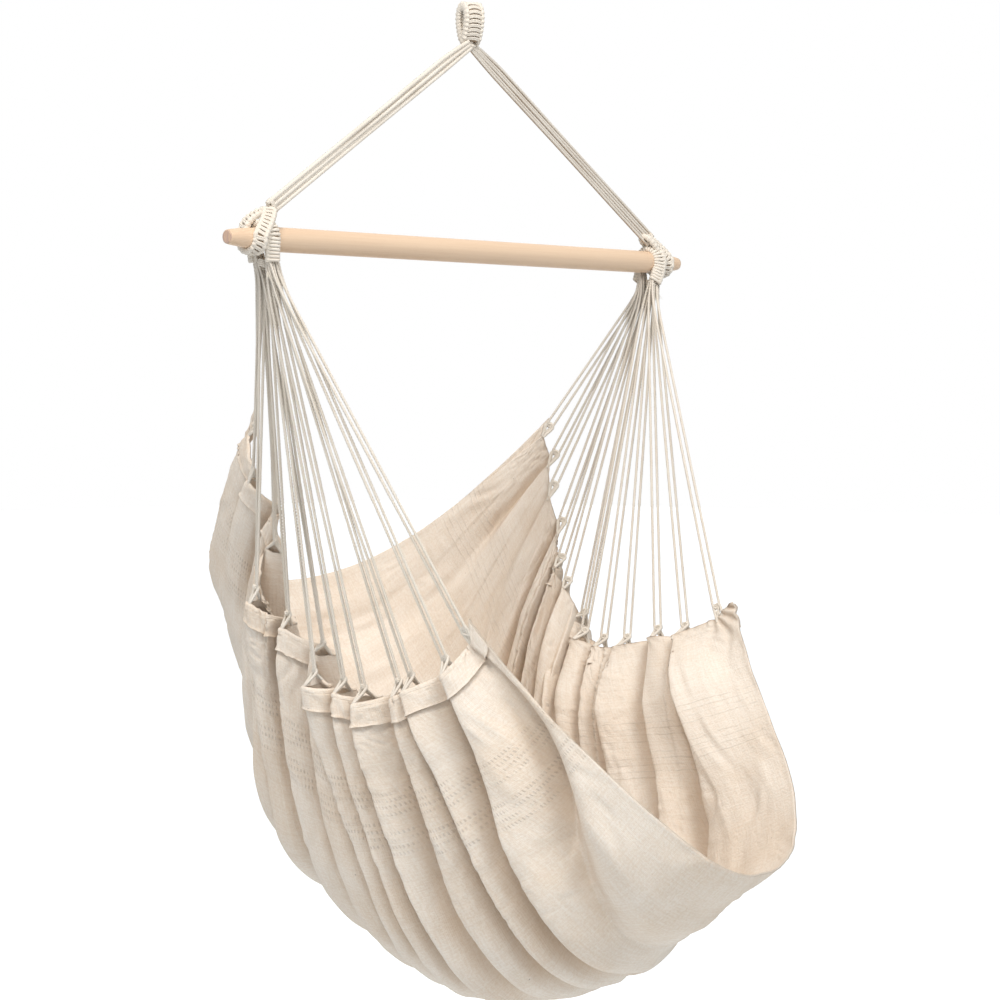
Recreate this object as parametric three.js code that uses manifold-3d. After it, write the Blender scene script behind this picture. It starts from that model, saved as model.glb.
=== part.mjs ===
// Hammock chair: a cotton seat gathered into two fans of cord on a beech spreader bar,
// which hangs by two bundled cord legs from one wrapped eye.
// Millimetres, +Z up, +X along the bar, -Y where the knees go.
// The origin is the top of the eye's opening, where a hook carries the chair.
import * as THREE from "three";
import { mergeVertices } from "three/addons/utils/BufferGeometryUtils.js";
import Module from "manifold-3d";

const wasm = await Module();
wasm.setup();

// Driving sizes of the whole chair
const barDrop = 370; // hook point down to the bar's axis
const barLength = 1000;
const barRadius = 18;
const fanDrop = 650; // bar's axis down to the lowest cord loops of the seat
const hemHalfSpanBack = 321; // half the width between the two hems, at the back corners
const hemHalfSpanFront = 287;
const hemSpanSwell = 15; // the hems stand this much further apart half way
const hemWave = 30; // how far single loops stand in or out of that line
const backEdgeReach = 473; // the seat's free back edge, behind the bar
const backEdgeDrop = 527;
const frontEdgeReach = 572; // the seat's free front edge, before the bar
const frontEdgeDrop = 904;
const backSwellReach = 147; // handles of the curve down the middle of the seat
const backSwellDrop = 1193;
const frontSwellReach = 73;
const frontSwellDrop = 1299;
const bellySpanShare = 0.033; // how far the belly is wider than the hems
const clothThickness = 2.4;
const runningGap = 0.3; // between pieces that touch
const joinTolerance = 0.05;

// Spreader bar
const barTipRadius = 9.5;
const barTaperLength = 95;
const barTaperPower = 0.62; // how full the turned end is
const barTaperSteps = 5;
const barChamfer = 1.5;
const barSides = 28;

// Hanging eye
const eyeTwist = THREE.MathUtils.degToRad(-18); // the loop has turned a little on its cords
const eyeHeight = 52; // centre line of the loop, top to bottom
const eyeHalfDepth = 17;
const eyeNarrowShare = 0.28; // how much the loop narrows towards its neck
const eyeHalfBreadth = 11; // half the core band's breadth
const eyeHalfThick = 2.6;
const eyeWrapCord = 2.8;
const eyeWraps = 14;
const eyeWrapFromShare = 0.63; // the loop's share where the wrapping starts, above the neck
const eyeSteps = 28;
const eyeRoundShares = [0.3, 0.7]; // between these depths the loop's strands run down
const pivotRadius = 5; // rounded foot of the eye, in which the two bindings turn
const pivotBelowLoop = 4;
const pivotRings = 10;
const bindingWall = 2.6;
const bindingSpan = THREE.MathUtils.degToRad(58); // how far a binding reaches up its ball
const bindingSides = 20;
const bindingSteps = 5;

const cordSides = 8;

// Bridle legs
const legCordsHalf = 2; // cords on either side of a leg's middle one
const legCord = 4.2;
const legCordPitch = 5; // cords side by side in the flat of a leg
const legTopPitch = 4.9; // and gathered in two rows at the eye
const legTopRise = 4.3;
const legCordSteps = 5;

// Wrapped rings on the bar
const ringCoreHalfBreadth = 5.5;
const ringCoreHalfThick = 1.6;
const ringWrapCord = 2.4;
const ringWraps = 10;
const ringSteps = 24;
const wrapSides = 5;
const ringSeatGap = 0.4; // ring to bar
const wrapGap = 0.7; // wrapping cord to its core
const seatRingInset = 69; // rings of the seat, from the bar's ends
const bridleRingInset = 43; // rings of the bridle, nearer the ends
const bridleRingFootInset = 35;
const bridleRingHeadInset = 67;
const bridleRingHeadRise = 42; // bar's axis up to the middle of the bridle ring's head
const bridleNeckLength = 17;
const bridleNeckHalfWidth = 13.5;
const bridleNeckHalfDepth = 6;
const seatNeckLength = 20;
const seatNeckHalfWidth = 12;
const seatNeckHalfDepth = 14;
const neckFlatShare = 0.4;
const bridleWrapFromShare = 0.13; // the ring's share where its wrapping starts, beside the neck
const seatWrapFromShare = 0.61;

// Fans of cord
const fanCord = 3.8;
const fanRows = 4;
const fanColumnPitch = 4.1;
const fanRowPitch = 5.2;
const hemLoopCord = 3.2;
const hemLoopHalf = 5; // half the width of a hem loop
const hemLoopFoot = 6; // and at the hem, where its two strands are sewn in
const hemLoopRise = 13; // hem's top line up to the loop's crown
const hemLoopRoot = 5; // how deep a loop is sewn into the hem
const hemLoopSteps = 3;
const hemLoopSides = 6;
const bightClearance = 0.7;
const bightSteps = 4;

// Seat cloth and its hems
const hemHeight = 35;
const hemHalfThick = 1.8;
const hemSeam = 2; // between the hem band and the cloth
const foldDepth = 20; // pleats between the loops, at the hem
const clothLines = 38;
const clothStrips = 14;
const hemStrips = 2;
const depthPowers = [3.0, 5.15, 2.7]; // how square the seat's section is, back, middle and front
const dropPowers = [3.63, 3.3, 2.21];
const hemFadePower = 8; // how soon the hem's own waves die out into the cloth

// Places of the hem loops from the back corner to the front corner: behind the bar and
// below it as shares of fanDrop, then out from the hem's even line as a share of hemWave.
const leftLoopShares = [
  [0.207, 0.409, 0], [0.176, 0.505, 0.81], [0.148, 0.588, -0.25], [0.152, 0.672, -0.23],
  [0.162, 0.78, 0.86], [0.111, 0.84, -0.2], [0.022, 0.902, -0.67], [-0.001, 0.963, 0.45],
  [-0.067, 0.979, 0], [-0.126, 0.994, 0], [-0.228, 0.975, 0], [-0.258, 0.96, 0],
  [-0.353, 0.919, 0], [-0.401, 0.855, 0],
];
const rightLoopShares = [
  [0.19, 0.413, 0], [0.183, 0.483, 0.24], [0.17, 0.561, -0.19], [0.157, 0.653, 0.14],
  [0.152, 0.745, 0], [0.129, 0.803, 0.02], [0.086, 0.884, 0.42], [0.052, 0.927, -0.3],
  [-0.006, 0.941, 0], [-0.088, 0.936, 0], [-0.194, 0.909, 0], [-0.288, 0.897, 0],
  [-0.395, 0.847, 0],
];

const barZ = -barDrop;
const seatRingX = barLength / 2 - seatRingInset;
const bridleRingX = barLength / 2 - bridleRingInset;
const bridleRingFootX = barLength / 2 - bridleRingFootInset;
const bridleRingHeadX = barLength / 2 - bridleRingHeadInset;
const loopPitch = ringCoreHalfThick + wrapGap + ringWrapCord / 2; // ring core's middle to the wrap's
const X = new THREE.Vector3(1, 0, 0);
const Y = new THREE.Vector3(0, 1, 0);
const Z = new THREE.Vector3(0, 0, 1);

function vec(x, y, z) {
  return new THREE.Vector3(x, y, z);
}

function move(point, ...pairs) {
  const out = point.clone();
  for (const [direction, amount] of pairs) out.addScaledVector(direction, amount);
  return out;
}

// A curve through stations that are spaced as the shape needs, so that a straight
// stretch costs one step and a tight turn as many as it is given.
class StationCurve extends THREE.Curve {
  constructor(stations) {
    super();
    this.stations = stations;
  }

  getPoint(t, target = new THREE.Vector3()) {
    const last = this.stations.length - 1;
    const place = Math.min(Math.max(t, 0), 1) * last;
    const index = Math.min(Math.floor(place), last - 1);
    return target.lerpVectors(this.stations[index], this.stations[index + 1], place - index);
  }

  getUtoTmapping(u) {
    return u;
  }
}

function roundSection(radius, sides) {
  const shape = new THREE.Shape();
  for (let i = 0; i < sides; i++) {
    const a = (2 * Math.PI * (i + 0.5)) / sides;
    if (i === 0) shape.moveTo(radius * Math.cos(a), radius * Math.sin(a));
    else shape.lineTo(radius * Math.cos(a), radius * Math.sin(a));
  }
  return shape;
}

function cord(stations, diameter, sides = cordSides) {
  return new THREE.ExtrudeGeometry(roundSection(diameter / 2, sides), {
    steps: stations.length - 1,
    extrudePath: new StationCurve(stations),
    bevelEnabled: false,
  });
}

const bandCornerShare = 0.6;

// Rings of points joined into one closed skin. Each ring has as many points as the next.
function loft(rings, closed) {
  const count = rings[0].length;
  const position = rings.flat().flatMap((p) => [p.x, p.y, p.z]);
  const index = [];
  const spans = closed ? rings.length : rings.length - 1;
  for (let i = 0; i < spans; i++) {
    const a = i * count;
    const b = ((i + 1) % rings.length) * count;
    for (let j = 0; j < count; j++) {
      const k = (j + 1) % count;
      index.push(a + j, a + k, b + k, a + j, b + k, b + j);
    }
  }
  if (!closed) {
    const end = (rings.length - 1) * count;
    for (let j = 1; j < count - 1; j++) {
      index.push(0, j + 1, j);
      index.push(end, end + j, end + j + 1);
    }
  }
  const geometry = new THREE.BufferGeometry();
  geometry.setAttribute("position", new THREE.Float32BufferAttribute(position, 3));
  geometry.setIndex(index);
  return geometry;
}

function solid(geometry) {
  const bare = geometry.index ? geometry.toNonIndexed() : geometry.clone();
  bare.deleteAttribute("normal");
  bare.deleteAttribute("uv");
  const merged = mergeVertices(bare, 1e-3);
  const made = new wasm.Manifold(
    new wasm.Mesh({
      numProp: 3,
      vertProperties: merged.attributes.position.array,
      triVerts: new Uint32Array(merged.index.array),
    }),
  );
  return made;
}

function joined(...geometries) {
  const whole = geometries.map(solid).reduce((a, b) => a.add(b)).simplify(joinTolerance);
  const mesh = whole.getMesh();
  const geometry = new THREE.BufferGeometry();
  geometry.setAttribute("position", new THREE.Float32BufferAttribute(mesh.vertProperties, 3));
  geometry.setIndex([...mesh.triVerts]);
  return geometry;
}

// A band's section: a flat octagon across the breadth and the thickness.
function bandSection(frame, halfBreadth, halfThick) {
  const flatBreadth = halfBreadth - halfThick * bandCornerShare;
  const flatThick = halfThick * (1 - bandCornerShare);
  const corners = [
    [halfBreadth, -flatThick], [halfBreadth, flatThick], [flatBreadth, halfThick],
    [-flatBreadth, halfThick], [-halfBreadth, flatThick], [-halfBreadth, -flatThick],
    [-flatBreadth, -halfThick], [flatBreadth, -halfThick],
  ];
  return corners.map(([b, t]) => move(frame.at, [frame.across, b], [frame.out, t]));
}

const frameNudgeShare = 1e-3;

// Frames along a closed centre line: out points away from the middle line that outFrom gives.
function framesAlong(centreAt, outFrom, steps) {
  const frames = [];
  for (let i = 0; i < steps; i++) frames.push(frameAt(centreAt, outFrom, i / steps));
  return frames;
}

function frameAt(centreAt, outFrom, share) {
  const nudge = frameNudgeShare;
  const at = centreAt(share);
  const along = centreAt(share + nudge).sub(centreAt(share - nudge)).normalize();
  const out = at.clone().sub(outFrom(at));
  out.addScaledVector(along, -out.dot(along)).normalize();
  return { at, along, out, across: out.clone().cross(along) };
}

function bandCore(centreAt, outFrom, halfBreadth, halfThick, steps) {
  const rings = framesAlong(centreAt, outFrom, steps).map((f) => bandSection(f, halfBreadth, halfThick));
  return loft(rings, true);
}

const stepsPerTurn = 8;

// The wrapping cord: one unbroken tube that winds round the band, from the share
// where it starts to the share where it ends, eight steps a turn.
function wrapping(centreAt, outFrom, halfBreadth, halfThick, turns, from, to, diameter) {
  const stations = [];
  const total = turns * stepsPerTurn;
  for (let i = 0; i <= total; i++) {
    const share = from + ((to - from) * i) / total;
    const frame = frameAt(centreAt, outFrom, share);
    stations.push(bandSection(frame, halfBreadth, halfThick)[i % stepsPerTurn]);
  }
  const first = move(stations[0], [stations[0].clone().sub(stations[1]).normalize(), diameter]);
  const last = stations[total];
  const end = move(last, [last.clone().sub(stations[total - 1]).normalize(), diameter]);
  return { stations: [first, ...stations, end], diameter };
}

// The least gap between the turns of a wound cord, measured on its stations.
function leastTurnGap({ stations, diameter }) {
  let least = Infinity;
  for (let i = 0; i < stations.length; i++) {
    for (let j = i + stepsPerTurn - 2; j < stations.length; j++) {
      least = Math.min(least, stations[i].distanceTo(stations[j]) - diameter);
    }
  }
  return least;
}

function barRadiusAt(x) {
  const fromTip = barLength / 2 - Math.abs(x);
  const share = Math.min(Math.max(fromTip / barTaperLength, 0), 1);
  return barTipRadius + (barRadius - barTipRadius) * share ** barTaperPower;
}

function barGeometry() {
  const half = barLength / 2;
  const right = [];
  for (let i = barTaperSteps; i > 0; i--) {
    const x = half - barChamfer - (barTaperLength - barChamfer) * (i / barTaperSteps) ** 2;
    right.push(new THREE.Vector2(barRadiusAt(x), x));
  }
  right.push(new THREE.Vector2(barRadiusAt(half - barChamfer), half - barChamfer));
  right.push(new THREE.Vector2(barTipRadius - barChamfer, half));
  const left = right.map((p) => new THREE.Vector2(p.x, -p.y)).reverse();
  const ends = [new THREE.Vector2(0, -half), ...left, ...right, new THREE.Vector2(0, half)];
  const geometry = new THREE.LatheGeometry(ends, barSides);
  geometry.rotateZ(-Math.PI / 2);
  geometry.translate(0, 0, barZ);
  return geometry;
}

// Hanging eye: a teardrop loop that stands fore and aft, turned a little.
const eyeTop = eyeHalfThick + wrapGap + eyeWrapCord; // centre line of the loop above the hook point
const pivot = vec(0, 0, eyeTop - eyeHeight - pivotBelowLoop);
const eyeOut = eyeHalfThick + wrapGap + eyeWrapCord / 2;

function eyeCentre(share) {
  const a = 2 * Math.PI * share;
  const narrow = 1 - eyeNarrowShare + eyeNarrowShare * Math.cos(a);
  const y = -eyeHalfDepth * Math.sin(a) * narrow;
  const z = eyeTop - (eyeHeight / 2) * (1 - Math.cos(a));
  return vec(0, y, z).applyAxisAngle(Z, eyeTwist);
}

function eyeInside(at) {
  const [high, low] = eyeRoundShares.map((share) => eyeTop - eyeHeight * share);
  return vec(0, 0, Math.min(Math.max(at.z, low), high));
}

function eyeCore() {
  const band = bandCore(eyeCentre, eyeInside, eyeHalfBreadth, eyeHalfThick, eyeSteps);
  const foot = new THREE.SphereGeometry(pivotRadius, bindingSides, pivotRings);
  foot.rotateX(Math.PI / 2);
  foot.translate(pivot.x, pivot.y, pivot.z);
  return joined(band, foot);
}

function eyeWrapping() {
  const from = eyeWrapFromShare;
  return wrapping(eyeCentre, eyeInside, eyeHalfBreadth + wrapGap + eyeWrapCord / 2, eyeOut,
    eyeWraps, from, 2 - from, eyeWrapCord);
}

// A binding is a bowl of whipping cord under the eye's foot. Its walls are parts of
// spheres about the pivot, so it turns there in every direction.
function binding(innerRadius, outerRadius) {
  const profile = [];
  for (let i = 0; i <= bindingSteps; i++) {
    const a = (bindingSpan * i) / bindingSteps;
    profile.push(new THREE.Vector2(outerRadius * Math.sin(a), -outerRadius * Math.cos(a)));
  }
  for (let i = bindingSteps; i >= 0; i--) {
    const a = (bindingSpan * i) / bindingSteps;
    profile.push(new THREE.Vector2(innerRadius * Math.sin(a), -innerRadius * Math.cos(a)));
  }
  const geometry = new THREE.LatheGeometry(profile, bindingSides);
  geometry.rotateX(Math.PI / 2);
  geometry.translate(pivot.x, pivot.y, pivot.z);
  return geometry;
}

const whippingInner = pivotRadius + runningGap;
const whippingOuter = whippingInner + bindingWall;
const knotInner = whippingOuter + runningGap;
const knotOuter = knotInner + bindingWall;

// Rings on the bar. Share 0 is the top, and a half is the bottom.
function bridleRingCentre(side, share) {
  const a = 2 * Math.PI * share;
  const up = (1 + Math.cos(a)) / 2;
  const headShare = Math.max(2 * up - 1, 0);
  const footShare = Math.max(1 - 2 * up, 0);
  const x = bridleRingX + (bridleRingHeadX - bridleRingX) * headShare ** 3
    + (bridleRingFootX - bridleRingX) * footShare;
  const hug = barRadiusAt(x) + ringSeatGap + ringWrapCord / 2 + loopPitch;
  const rise = hug + (bridleRingHeadRise - hug) * headShare ** 2;
  return vec(side * x, hug * Math.sin(a), barZ + rise * Math.cos(a));
}

function seatRingCentre(side, share) {
  const a = 2 * Math.PI * share;
  const hug = barRadiusAt(seatRingX - loopPitch) + ringSeatGap + ringWrapCord / 2 + loopPitch;
  return vec(side * seatRingX, hug * Math.sin(a), barZ + hug * Math.cos(a));
}

function barLine(at) {
  return vec(at.x, 0, barZ);
}

// A neck where the cords leave a ring: a tapered block from the ring's band to a flat
// face, on which the cords start.
function neck(start, direction, wide, startHalf, endHalf, length) {
  const deep = direction.clone().cross(wide).normalize();
  const ringOf = (at, [w, d]) => {
    const [wc, dc] = [w * neckFlatShare, d * neckFlatShare];
    const corners = [[w, -dc], [w, dc], [wc, d], [-wc, d], [-w, dc], [-w, -dc], [-wc, -d], [wc, -d]];
    return corners.map(([b, t]) => move(at, [wide, b], [deep, t]));
  };
  const end = move(start, [direction, length]);
  return { geometry: loft([ringOf(start, startHalf), ringOf(end, endHalf)], false), end };
}

function legDirection(side) {
  const head = bridleRingCentre(side, 0);
  return pivot.clone().sub(head).normalize();
}

function bridleNeck(side) {
  const start = bridleRingCentre(side, 0);
  const direction = legDirection(side);
  const wide = direction.clone().cross(Y).normalize();
  return neck(start, direction, wide, [ringCoreHalfBreadth, ringCoreHalfThick],
    [bridleNeckHalfWidth, bridleNeckHalfDepth], bridleNeckLength);
}

function seatNeck(side) {
  const start = seatRingCentre(side, 0.5);
  const direction = Z.clone().negate();
  return neck(start, direction, X.clone(), [ringCoreHalfBreadth, ringCoreHalfThick],
    [seatNeckHalfWidth, seatNeckHalfDepth], seatNeckLength);
}

function ringWrapping(centreAt, from, to) {
  return wrapping(centreAt, barLine, ringCoreHalfBreadth + wrapGap + ringWrapCord / 2, loopPitch,
    ringWraps, from, to, ringWrapCord);
}

// One leg of the bridle: five cords, flat beside each other at the ring and gathered
// in two rows under the eye.
function legCords(side) {
  const direction = legDirection(side);
  const { end } = bridleNeck(side);
  const wide = direction.clone().cross(Y).normalize();
  const endAlong = pivot.distanceTo(end) - runningGap;
  const topAlong = knotOuter + 2 * runningGap;
  const cords = [];
  for (let k = -legCordsHalf; k <= legCordsHalf; k++) {
    const stations = [];
    for (let i = 0; i <= legCordSteps; i++) {
      const share = i / legCordSteps;
      const along = endAlong + (topAlong - endAlong) * share;
      const spread = (1 - share) * legCordPitch + (share * legTopPitch) / 2;
      const low = k % 2 === 0 ? 0 : legTopRise * share;
      stations.push(move(pivot, [direction, -along], [wide, k * spread], [Y, low]));
    }
    cords.push(stations);
  }
  return cords;
}

// Hem loops. Each has its crown at a place in the table, and the hem lies under it
// along the pull of its cords.
function hemHalfSpan(share) {
  const even = hemHalfSpanBack + (hemHalfSpanFront - hemHalfSpanBack) * share;
  return even + 4 * hemSpanSwell * share * (1 - share);
}

function loopCrowns(side) {
  const shares = side < 0 ? leftLoopShares : rightLoopShares;
  const last = shares.length - 1;
  return shares.map(([back, below, out], i) =>
    vec(side * (hemHalfSpan(i / last) + out * hemWave), back * fanDrop, barZ - below * fanDrop));
}

function pullAt(side, crown) {
  return seatNeck(side).end.sub(crown).normalize();
}

function smoothed(points) {
  return points.map((p, i) => {
    if (i === 0 || i === points.length - 1) return p.clone();
    return p.clone().multiplyScalar(2).add(points[i - 1]).add(points[i + 1]).divideScalar(4);
  });
}

function hemCurves(side) {
  const hem = loopCrowns(side).map((crown) => move(crown, [pullAt(side, crown), -hemLoopRise]));
  return {
    count: hem.length - 1,
    waved: new THREE.CatmullRomCurve3(hem, false, "catmullrom"),
    even: new THREE.CatmullRomCurve3(smoothed(smoothed(hem)), false, "catmullrom"),
  };
}

const hems = { left: hemCurves(-1), right: hemCurves(1) };

// Line i of the cloth meets a hem of so many pleats at this place, counted in pleats,
// so that some line always runs to each loop.
function pleatPlace(line, pleats) {
  const edges = (k) => Math.round((k * clothLines) / pleats);
  let k = Math.min(Math.floor((line * pleats) / clothLines), pleats - 1);
  while (k > 0 && edges(k) > line) k--;
  while (k < pleats - 1 && edges(k + 1) <= line) k++;
  return k + (line - edges(k)) / (edges(k + 1) - edges(k));
}

function threeWay([back, middle, front], t) {
  return back * (1 - t) * (1 - 2 * t) + middle * 4 * t * (1 - t) + front * t * (2 * t - 1);
}

const spine = new THREE.CubicBezierCurve3(
  vec(0, backEdgeReach, barZ - backEdgeDrop),
  vec(0, backSwellReach, barZ - backSwellDrop),
  vec(0, -frontSwellReach, barZ - frontSwellDrop),
  vec(0, -frontEdgeReach, barZ - frontEdgeDrop),
);

// The seat without its pleats: line runs from the back edge to the front edge, and
// width from -1 at the left hem to 1 at the right one.
function plainSeat(line, width) {
  const left = pleatPlace(line, hems.left.count) / hems.left.count;
  const right = pleatPlace(line, hems.right.count) / hems.right.count;
  const t = (left + right) / 2;
  const hem = width < 0 ? hems.left : hems.right;
  const place = width < 0 ? left : right;
  const w = Math.abs(width);
  const edge = hem.even.getPoint(place).lerp(hem.waved.getPoint(place), w ** hemFadePower);
  const low = spine.getPoint(t);
  const swell = 1 + 4 * t * (1 - t) * bellySpanShare * (1 - w ** 4);
  return vec(
    edge.x * w * swell,
    low.y + (edge.y - low.y) * w ** threeWay(depthPowers, t),
    low.z + (edge.z - low.z) * w ** threeWay(dropPowers, t),
  );
}

const widthNudgeShare = 0.01;

function seatNormal(line, width) {
  const l0 = Math.max(line - 1 / 2, 0);
  const l1 = Math.min(line + 1 / 2, clothLines);
  const w0 = Math.max(width - widthNudgeShare, -1);
  const w1 = Math.min(width + widthNudgeShare, 1);
  const down = plainSeat(l1, width).sub(plainSeat(l0, width));
  const over = plainSeat(line, w1).sub(plainSeat(line, w0));
  return over.cross(down).normalize();
}

function pleatShare(line, width) {
  const hem = width < 0 ? hems.left : hems.right;
  const place = pleatPlace(line, hem.count);
  const w = (2 / Math.PI) * Math.asin(Math.min(Math.abs(width), 1));
  return Math.abs(Math.sin(Math.PI * place)) * w * w * (3 - 2 * w);
}

// The middle of the cloth's thickness, with its pleats, moved out by so much.
function seatPoint(line, width, out) {
  const normal = seatNormal(line, width);
  return move(plainSeat(line, width), [normal, foldDepth * pleatShare(line, width) + out]);
}

function hemWidthShare(line, side, depth) {
  const near = plainSeat(line, side * (1 - widthNudgeShare));
  const span = plainSeat(line, side).distanceTo(near) / widthNudgeShare;
  return side * (1 - depth / span);
}

// A sheet between two faces of points, outer and inner, closed along its edges.
function sheet(lines, widths, widthAt, halfThick) {
  const outer = [];
  const inner = [];
  for (let i = 0; i <= lines; i++) {
    for (let j = 0; j <= widths; j++) {
      const width = widthAt(i, j);
      outer.push(seatPoint(i, width, halfThick));
      inner.push(seatPoint(i, width, -halfThick));
    }
  }
  const row = widths + 1;
  const base = outer.length;
  const index = [];
  const quad = (a, b, c, d) => index.push(a, c, b, a, d, c);
  for (let i = 0; i < lines; i++) {
    for (let j = 0; j < widths; j++) {
      const a = i * row + j;
      quad(a, a + row, a + row + 1, a + 1);
      quad(base + a, base + a + 1, base + a + row + 1, base + a + row);
    }
    const l = i * row;
    const r = i * row + widths;
    quad(l, base + l, base + l + row, l + row);
    quad(r, r + row, base + r + row, base + r);
  }
  for (let j = 0; j < widths; j++) {
    const f = lines * row + j;
    quad(j, j + 1, base + j + 1, base + j);
    quad(f, base + f, base + f + 1, f + 1);
  }
  const geometry = new THREE.BufferGeometry();
  const position = [...outer, ...inner].flatMap((p) => [p.x, p.y, p.z]);
  geometry.setAttribute("position", new THREE.Float32BufferAttribute(position, 3));
  geometry.setIndex(index);
  return geometry;
}

function seatCloth() {
  const widthAt = (line, j) => {
    const side = j * 2 < clothStrips ? -1 : 1;
    const edge = Math.abs(hemWidthShare(line, side, hemHeight + hemSeam));
    return edge * Math.sin((Math.PI / 2) * ((2 * j) / clothStrips - 1));
  };
  return sheet(clothLines, clothStrips, widthAt, clothThickness / 2);
}

function hemBand(side) {
  const widthAt = (line, j) => {
    const share = side < 0 ? j / hemStrips : 1 - j / hemStrips;
    return hemWidthShare(line, side, hemHeight * share);
  };
  return sheet(clothLines, hemStrips, widthAt, hemHalfThick);
}

// Directions at a hem loop: pull along its cords, outward across the hem, and along the hem.
function loopFrame(side, i) {
  const hem = side < 0 ? hems.left : hems.right;
  const crown = loopCrowns(side)[i];
  const pull = pullAt(side, crown);
  const share = i / hem.count;
  const next = hem.even.getPoint(Math.min(share + widthNudgeShare, 1));
  const along = next.sub(hem.even.getPoint(Math.max(share - widthNudgeShare, 0)));
  along.addScaledVector(pull, -along.dot(pull)).normalize();
  return { crown, pull, along, out: pull.clone().cross(along).normalize() };
}

// The two feet of a loop lie in the middle of the hem band, on either side of its line.
function hemLoopFeet(side, i) {
  const hem = side < 0 ? hems.left : hems.right;
  const line = Math.round((i * clothLines) / hem.count);
  const pointOn = (l) => seatPoint(l, hemWidthShare(l, side, hemLoopRoot), 0);
  const at = pointOn(line);
  const towards = (step, distance) => {
    const next = pointOn(line + step);
    return move(at, [next.clone().sub(at).normalize(), distance]);
  };
  const near = hemLoopCord / 2;
  const far = near + 2 * hemLoopFoot;
  if (line === 0) return [towards(1, near), towards(1, far)];
  if (line === clothLines) return [towards(-1, far), towards(-1, near)];
  return [towards(-1, hemLoopFoot), towards(1, hemLoopFoot)];
}

function hemLoop(side, i) {
  const { crown, pull, along } = loopFrame(side, i);
  const [first, last] = hemLoopFeet(side, i);
  const stations = [first];
  for (let k = 0; k <= hemLoopSteps; k++) {
    const a = (Math.PI * k) / hemLoopSteps;
    const [aside, up] = [-hemLoopHalf * Math.cos(a), hemLoopHalf * (Math.sin(a) - 1)];
    stations.push(move(crown, [along, aside], [pull, up]));
  }
  stations.push(last);
  return cord(stations, hemLoopCord, hemLoopSides);
}

function hemBandWithLoops(side) {
  const hem = side < 0 ? hems.left : hems.right;
  const loops = [];
  for (let i = 0; i <= hem.count; i++) loops.push(hemLoop(side, i));
  return joined(hemBand(side), ...loops);
}

// The fan: each loop carries one cord, folded in two. Its two ends start side by side
// under the ring's neck, in columns that follow the order in which the cords spread.
function fanOrder(side) {
  const crowns = loopCrowns(side);
  const from = seatNeck(side).end;
  const slope = (p) => (p.y - from.y) / (from.z - p.z);
  const order = crowns.map((crown, i) => i).sort((a, b) => slope(crowns[a]) - slope(crowns[b]));
  for (let k = 0; k + 1 < order.length; k += 2) {
    const pair = [order[k], order[k + 1]].sort((a, b) => crowns[a].z - crowns[b].z);
    [order[k], order[k + 1]] = pair;
  }
  return order;
}

function fanTop(side, rank, half) {
  const column = Math.floor(rank / 2);
  const row = (rank % 2) * 2 + half;
  const columns = Math.ceil(loopCrowns(side).length / 2);
  const y = (column - (columns - 1) / 2) * fanColumnPitch;
  const x = ((fanRows - 1) / 2 - row) * fanRowPitch * side;
  return move(seatNeck(side).end, [Y, y], [X, x]);
}

function fanCordStations(side, i, rank) {
  const frame = loopFrame(side, i);
  const bend = (fanCord + hemLoopCord) / 2 + bightClearance;
  const outSign = frame.out.x * side > 0 ? 1 : -1;
  const stations = [];
  const leg = (half) => {
    const top = fanTop(side, rank, half);
    const foot = move(frame.crown, [frame.out, outSign * (half === 0 ? bend : -bend)]);
    const direction = foot.clone().sub(top).normalize();
    const tilt = Math.hypot(direction.x, direction.y);
    const start = move(top, [direction, runningGap + (fanCord / 2) * tilt]);
    return [start, foot];
  };
  stations.push(...leg(0));
  for (let k = 1; k < bightSteps; k++) {
    const a = (Math.PI * k) / bightSteps;
    const aside = outSign * bend * Math.cos(a);
    stations.push(move(frame.crown, [frame.out, aside], [frame.pull, -bend * Math.sin(a)]));
  }
  stations.push(...leg(1).reverse());
  return stations;
}

// Finishes
const cottonCord = new THREE.MeshStandardMaterial({ color: 0xe6ddcd, roughness: 0.95, metalness: 0 });
const cottonWrap = new THREE.MeshStandardMaterial({ color: 0xe3d9c8, roughness: 0.95, metalness: 0 });
const cottonCloth = new THREE.MeshStandardMaterial({ color: 0xe9e0d0, roughness: 0.97, metalness: 0 });
const beech = new THREE.MeshStandardMaterial({ color: 0xe3c4a2, roughness: 0.5, metalness: 0 });

const chair = new THREE.Group();
const bridle = new THREE.Group();
const seat = new THREE.Group();
chair.add(bridle, seat);

function add(group, name, geometry, finish) {
  const mesh = new THREE.Mesh(geometry, finish.clone());
  mesh.name = name;
  group.add(mesh);
}

const twoDigits = (n) => String(n).padStart(2, "0");
const wound = (turns) => cord(turns.stations, turns.diameter, wrapSides);

add(chair, "eye_core", eyeCore(), cottonCord);
const eyeWound = eyeWrapping();
add(chair, "eye_wrapping", wound(eyeWound), cottonWrap);
add(bridle, "neck_whipping", binding(whippingInner, whippingOuter), cottonWrap);
add(bridle, "neck_knot", binding(knotInner, knotOuter), cottonWrap);
add(chair, "spreader_bar", barGeometry(), beech);

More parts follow.
